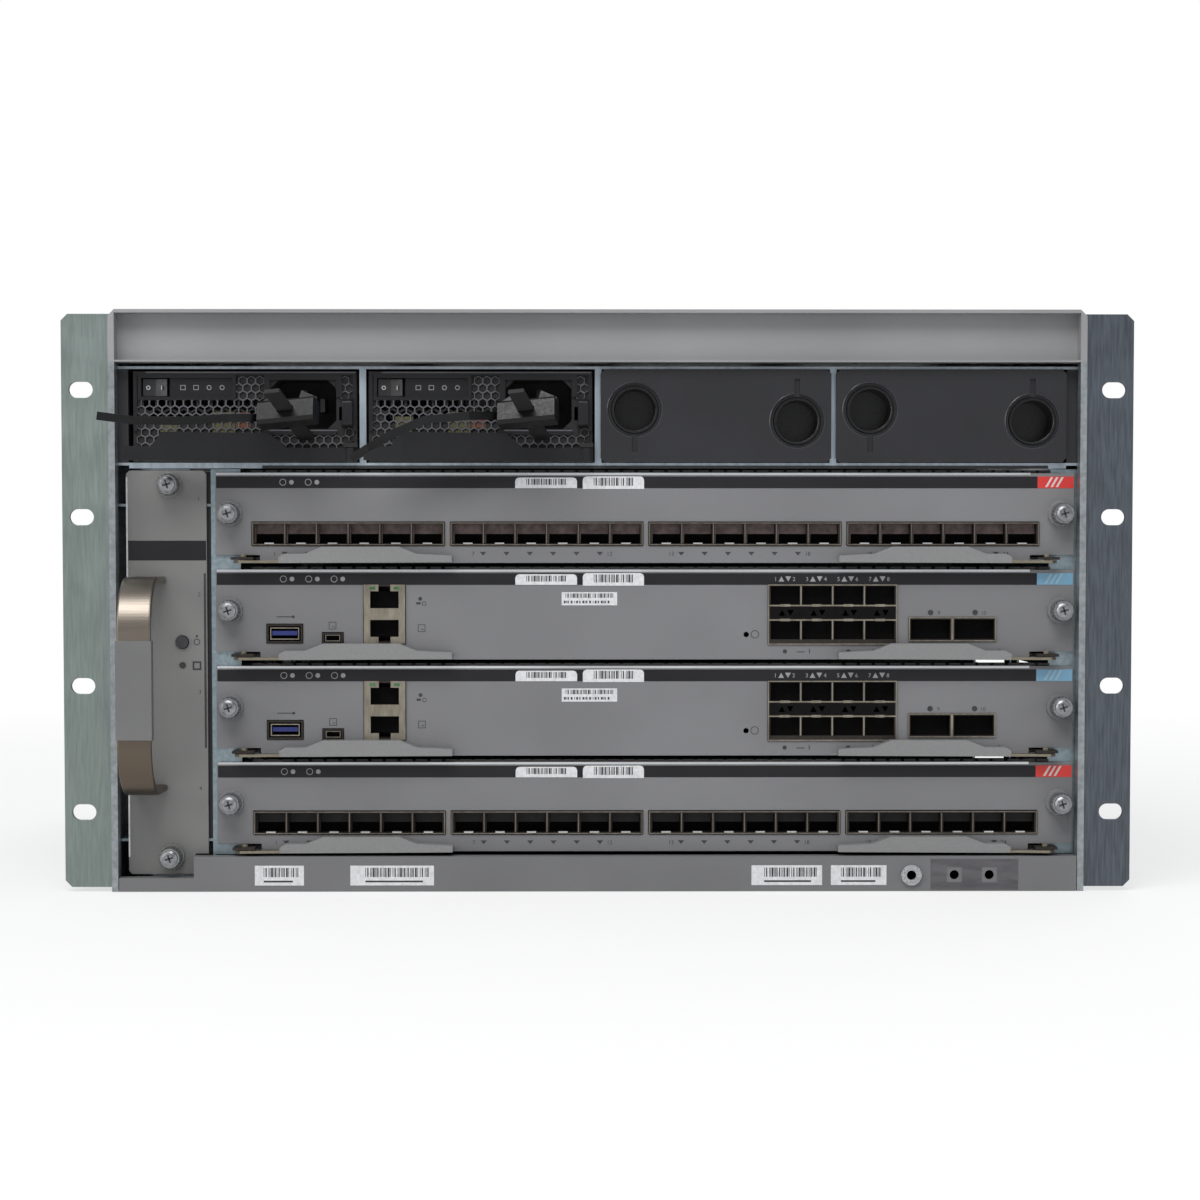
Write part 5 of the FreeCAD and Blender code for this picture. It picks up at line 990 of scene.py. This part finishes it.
# a near-white strip up the plate's left edge, painted highlight
tray_edge = build_blocks(tray, [((tray_left, tray_left + 0.7), (-0.06, 0.9),
                                 (tray_low.z / mm + 8, tray_high.z / mm - 3))])
tray_marks = build_blocks(tray, [((-178.9, -177.9), print_deep, (64.6, 143.9))])
for number, up in enumerate((177.6, 134.4, 90.2, 46.2), 1):
    add_number(tray_marks, tray, number, 1.8, -180.9, up, -print_sheet)
add_ring(tray_marks, tray, (-182.2, 112.8), 1.5, 0.4, -print_sheet)
add_disc(tray_marks, tray, (-182.2, 115.4), 0.6, print_deep, 8)
add_frame(tray_marks, tray, (-183.4, -181.0), (100.8, 103.2), 0.8, print_deep)
add_disc(tray_marks, tray, (-188.7, 102.2), 1.5, (-0.3, 0))
finish_piece("fan_tray_band", band, legend_black, "fan_tray")
finish_piece("fan_tray_marks", tray_marks, print_ink, "fan_tray")
finish_piece("fan_tray_painted_highlight_zinc", tray_edge, painted_highlight_zinc, "fan_tray")

# the strap's nickel is painted darker towards its foot and paler above, a painted reflection
nickel_painted_reflection, tree, shader, place = start_finish("nickel_painted_reflection", 0.3, 1.0)
brush = grain(tree, place, 1500.0, lengthwise, 2.0)
heights = add_node(tree, "ShaderNodeSeparateXYZ", {"Vector": place})
strap_painted_reflection = add_node(tree, "ShaderNodeMapRange", {"Value": heights.outputs["Z"],
                                                "From Min": 40 * mm, "From Max": 130 * mm})
grade(tree, strap_painted_reflection.outputs["Result"], ((92, 82, 72), (112, 102, 92), (132, 124, 115)), shader,
      (0.0, 0.55, 1.0))
vary_roughness(tree, brush, 0.34, 0.4, shader)
add_relief(tree, brush, 0.04, 0.03, shader)
grip_grey = moulded_finish("grip_grey", (99, 99, 99), (108, 108, 107), 0.45)
button_black = moulded_finish("button_black", (40, 40, 42), (54, 54, 56), 0.35)
rotor_black = moulded_finish("rotor_black", (30, 30, 32), (42, 42, 44), 0.4)
soften("fan_tray_handle", 0.9, nickel_painted_reflection, "fan_tray", 3)
soften("fan_tray_grip", 0.5, grip_grey, "fan_tray", 3)
dress(button_black, "fan_tray_beacon_button")
dress(rotor_black, "fan_rotor_1", "fan_rotor_2", "fan_rotor_3")


# The two power supplies: a dark moulded face with a field of hexagonal holes, a recessed
# panel with a rocker switch and lamps, a deep inlet, and coloured parts behind the holes.
supply_dark = moulded_finish("supply_dark", (17, 17, 19), (25, 25, 28), 0.36, specular=0.35)
web_grey = moulded_finish("web_grey", (72, 72, 76), (92, 92, 96), 0.35)
hole_shade = speckled_finish("hole_shade", (10, 10, 10), (22, 21, 21), 300.0, 0.7)
supply_width, supply_height = 101.2, 41.0
cell_pitch, cell_hole, sheet_thick = 3.84, 1.62, 0.9
sheet_front = -sheet_thick
panel = ((3.8, 45.0), (29.5, 37.9))
inlet = ((61.8, 91.8), (14.9, 37.1))
latch = ((94.6, 99.4), (15.4, 28.5))
clear_boxes = ((panel, 2.4), (inlet, 3.2), (latch, 1.2))


def calculate(tree, operation, first, second):
    """One sum in a tree."""
    return add_node(tree, "ShaderNodeMath", {0: first, 1: second}, operation).outputs["Value"]


def build_mesh_tree():
    """A tree that lays hexagonal cells in shifted rows and keeps clear of three boxes."""
    kinds = {"Piece": "Geometry", "Columns": "Int", "Rows": "Int", "First": "Vector",
             "Pitch": "Float", "Material": "Material"}
    kinds.update({f"Clear {end} {keep}": "Vector" for keep in range(3)
                  for end in ("low", "high")})
    tree, source = start_tree("hexagonal_field", kinds)
    index = add_node(tree, "GeometryNodeInputIndex").outputs["Index"]
    column = calculate(tree, "MODULO", index, source["Columns"])
    row = calculate(tree, "FLOOR", calculate(tree, "DIVIDE", index, source["Columns"]), 0)
    half_step = calculate(tree, "MULTIPLY", calculate(tree, "MODULO", row, 2), 0.5)
    across = calculate(tree, "MULTIPLY", calculate(tree, "ADD", column, half_step),
                       source["Pitch"])
    row_pitch = calculate(tree, "MULTIPLY", source["Pitch"], math.sqrt(3) / 2)
    step = add_node(tree, "ShaderNodeCombineXYZ",
                    {"X": across, "Z": calculate(tree, "MULTIPLY", row, row_pitch)})
    place = add_node(tree, "ShaderNodeVectorMath",
                     {0: step.outputs["Vector"], 1: source["First"]}, "ADD")

    position = add_node(tree, "GeometryNodeInputPosition").outputs["Position"]
    point = add_node(tree, "ShaderNodeSeparateXYZ", {"Vector": position}).outputs
    covered = 0.0
    for keep in range(3):
        low, high = [add_node(tree, "ShaderNodeSeparateXYZ",
                              {"Vector": source[f"Clear {end} {keep}"]}).outputs
                     for end in ("low", "high")]
        inside = 1.0
        for axis in ("X", "Z"):
            above = calculate(tree, "GREATER_THAN", point[axis], low[axis])
            below = calculate(tree, "LESS_THAN", point[axis], high[axis])
            inside = calculate(tree, "MULTIPLY", inside,
                               calculate(tree, "MULTIPLY", above, below))
        covered = calculate(tree, "MAXIMUM", covered, inside)
    count = calculate(tree, "MULTIPLY", source["Columns"], source["Rows"])
    end_tree(tree, source, count, place.outputs["Vector"],
             calculate(tree, "LESS_THAN", covered, 0.5), 0.01 * mm)
    return tree


def build_cell():
    """One cell of the field: a hexagonal ring with the wall of its hole."""
    bm = bmesh.new()
    outer, hole = cell_pitch / math.sqrt(3), cell_hole / math.cos(math.pi / 6)
    bridge(bm, [[bm.verts.new(spot((0, card_front, 0), across, deep, up))
                 for across, up in round_points((0, 0), radius, 6, 0.5)]
                for radius, deep in ((outer, sheet_front), (hole, sheet_front), (hole, 0.0))])
    return bm


mesh_tree = build_mesh_tree()
for supply in ("psu_1", "psu_2"):
    case_low, case_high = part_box(f"{supply}_body")
    origin = (case_low.x, card_front, case_high.z - supply_height * mm)
    level = (origin[0], 0, origin[2])
    dress(hole_shade, f"{supply}_body")

    # the field of holes, clear of the panel, the inlet and the latch
    values = {"Columns": 25, "Rows": 11, "First": spot(level, 3.6, 0, 3.4),
              "Pitch": cell_pitch * mm, "Material": web_grey}
    for keep, ((across, up), reach) in enumerate(clear_boxes):
        values[f"Clear low {keep}"] = spot(level, across[0] - reach, 0, up[0] - reach)
        values[f"Clear high {keep}"] = spot(level, across[1] + reach, 0, up[1] + reach)
    field = run_tree(mesh_tree, build_cell(), values)
    place_piece(f"{supply}_hexagonal_field", field, web_grey, supply)

    # the moulded borders that the field lies in, open where the latch and lever pass
    outer_deep, inlet_deep = (sheet_front - 0.2, 0.1), (sheet_front - 0.3, 0.1)
    outer_foot, top = 14, supply_height - 1.8
    (left, right), (low, high) = inlet
    wide = 2.6
    border = build_blocks(origin, [
        ((0.3, supply_width - 0.3), outer_deep, (top, top + 1.6)),
        ((0.3, 1.9), outer_deep, (outer_foot, top)),
        ((supply_width - 1.9, supply_width - 0.3), outer_deep, (outer_foot, top)),
        ((left - wide, right + wide), inlet_deep, (high, high + wide)),
        ((left - wide, right), inlet_deep, (low - wide, low)),
        ((left - wide, left), inlet_deep, (low, high)),
        ((right, right + wide), inlet_deep, (latch[1][1] + 1, high))])
    add_frame(border, origin, *panel, 1.5, (sheet_front - 0.25, 0.1))
    finish_piece(f"{supply}_face_borders", border, supply_dark, supply)
    # pale strips along the face's top edge and under the inlet's lower lip, painted highlight
    edges = build_blocks(origin, [
        ((6.0, supply_width - 0.6), (sheet_front - 0.4, 0.1), (top + 0.9, top + 1.5)),
        ((left - 0.4, right + 0.4), (sheet_front - 0.5, sheet_front), (low - 0.9, low - 0.3))])
    finish_piece(f"{supply}_painted_highlight_edges", edges, web_grey, supply)

    # the recessed panel with its four plain lamp marks
    (left, right), (low, high) = panel
    plate_deep = 0.9
    plate = build_blocks(origin, [((left + 13.0, right - 0.1), (plate_deep, plate_deep + 0.4),
                                   (low + 0.1, high - 0.1))])
    lamps = bmesh.new()
    lamp_front = plate_deep - print_sheet
    up = (low + high) / 2
    for lamp in range(4):
        across = left + 18.6 + lamp * 5.9
        if lamp < 2:
            add_frame(lamps, origin, (across - 0.9, across + 0.9), (up - 0.8, up + 0.8), 0.3,
                      (lamp_front, plate_deep))
        else:
            add_ring(lamps, origin, (across, up), 1.1, 0.35, lamp_front)
    finish_piece(f"{supply}_lamp_panel", plate, supply_dark, supply)
    finish_piece(f"{supply}_lamp_marks", lamps, pale_ink, supply)

    # coloured parts that show through the holes
    behind = (-0.25, -0.02)
    for label, dark, light, blocks in (
            ("windings", (62, 60, 38), (82, 79, 52),
             [((12, 20), behind, (13.6, 20.6)), ((36, 46), behind, (12.6, 22.6))]),
            ("fuses", (84, 44, 30), (108, 60, 40), [((46.4, 53.0), behind, (15.4, 22.4))])):
        inner = build_blocks(origin, blocks)
        tone = moulded_finish(f"{supply}_{label}_tone", dark, light, 0.5)
        finish_piece(f"{supply}_{label}", inner, tone, supply)

    # the rocker with its two marks, the lever and the latch
    switch = f"{supply}_switch"
    soften(switch, 0.3, button_black, switch)
    rocker_low, rocker_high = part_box(switch)
    across, up = (rocker_low.x + rocker_high.x) / 2, (rocker_low.z + rocker_high.z) / 2
    rocker_marks = bmesh.new()
    add_ring(rocker_marks, (across, rocker_low.y, up), (-3.0, 0), 0.95, 0.32, -0.05, 12)
    add_block(rocker_marks, (across, card_front, up), (2.9, 3.2), (0.35, 2.6), (-0.9, 0.9))
    finish_piece(f"{supply}_rocker_marks", rocker_marks, sticker_paper, switch)
    soften(f"{supply}_lever", 0.6, supply_dark, f"{supply}_lever", 3)
    soften(f"{supply}_latch", 0.4, supply_dark, f"{supply}_latch", 3)


# The cord clamps: black nylon, with a ratchet block on a toothed rail and a long strap.
# The strap's teeth are ribs across it, and the block's catch stands up on its back.
nylon_black = moulded_finish("nylon_black", (9, 9, 10), (16, 16, 17), 0.34, 700.0, 0.08, 0.3)
for clamp in ("psu_1_cord_clamp", "psu_2_cord_clamp"):
    soften(clamp, 0.35, nylon_black, clamp)


# The two blank covers: one moulding each with a softened rim and two finger cups, whose
# wells are polished and painted near-black, darker than the face, as painted shade deep in
# the bores.
cover_dark = moulded_finish("cover_dark", (30, 30, 33), (37, 37, 41), 0.4, specular=0.38)
rim_gloss = moulded_finish("rim_gloss", (34, 34, 37), (42, 42, 46), 0.22, 900.0, 0.02, 0.6)
# the wells' near-black is painted shade in the deep bores
glossy_well_painted_shade = moulded_finish("glossy_well_painted_shade", (5, 5, 6), (9, 9, 10), 0.3, 900.0, 0.01, 0.4)
cup_reach, cup_rises = 36.7, {-1: 23.6, 1: 18.5}
cup_bore, cup_radius = 9.7, 12.0
cup_step, cup_depth = 1.2, 15.7
lip = cup_bore + 0.85
well_profile = [(cup_depth, cup_bore), (cup_step, cup_bore), (cup_step, lip + 0.35),
                (0.75, lip + 0.3), (0.35, lip), (0.3, cup_bore), (0.55, cup_bore - 0.35),
                (1.2, cup_bore - 0.5), (cup_depth - 0.4, cup_bore - 0.9)]
rim_profile = [(0.9, cup_radius - 0.15), (0.1, cup_radius - 0.1), (-0.15, cup_radius + 0.12),
               (-0.15, cup_radius + 0.4), (0.05, cup_radius + 0.7), (0.9, cup_radius + 0.7)]
slot_gap = math.asin(1.25 / cup_radius)


def add_broken_ring(bm, centre, profile, gap_at, gap, sides):
    """A ring of one section round an upright face, left open where a key slot joins it."""
    sweep = 2 * math.pi - 2 * gap
    sections = []
    for step in range(sides + 1):
        angle = gap_at + gap + sweep * step / sides
        sections.append([bm.verts.new(spot(centre, radius * math.cos(angle), deep,
                                           radius * math.sin(angle)))
                         for deep, radius in profile])
    bridge(bm, sections)
    bm.faces.new(sections[0])
    bm.faces.new(sections[-1][::-1])


for blank in ("blank_cover_3", "blank_cover_4"):
    soften(blank, 0.45, cover_dark, blank, 3)
    low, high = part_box(blank)
    rims, wells = bmesh.new(), bmesh.new()
    for side, rise in cup_rises.items():
        centre = spot(((low.x + high.x) / 2, low.y, low.z), side * cup_reach, 0, rise)
        add_broken_ring(rims, centre, rim_profile, side * math.pi / 2, slot_gap, 48)
        turned_piece(wells, centre, (0, 1, 0), well_profile, 40)
    finish_piece(f"{blank}_cup_rims", rims, rim_gloss, blank)
    finish_piece(f"{blank}_cup_wells", wells, glossy_well_painted_shade, blank)
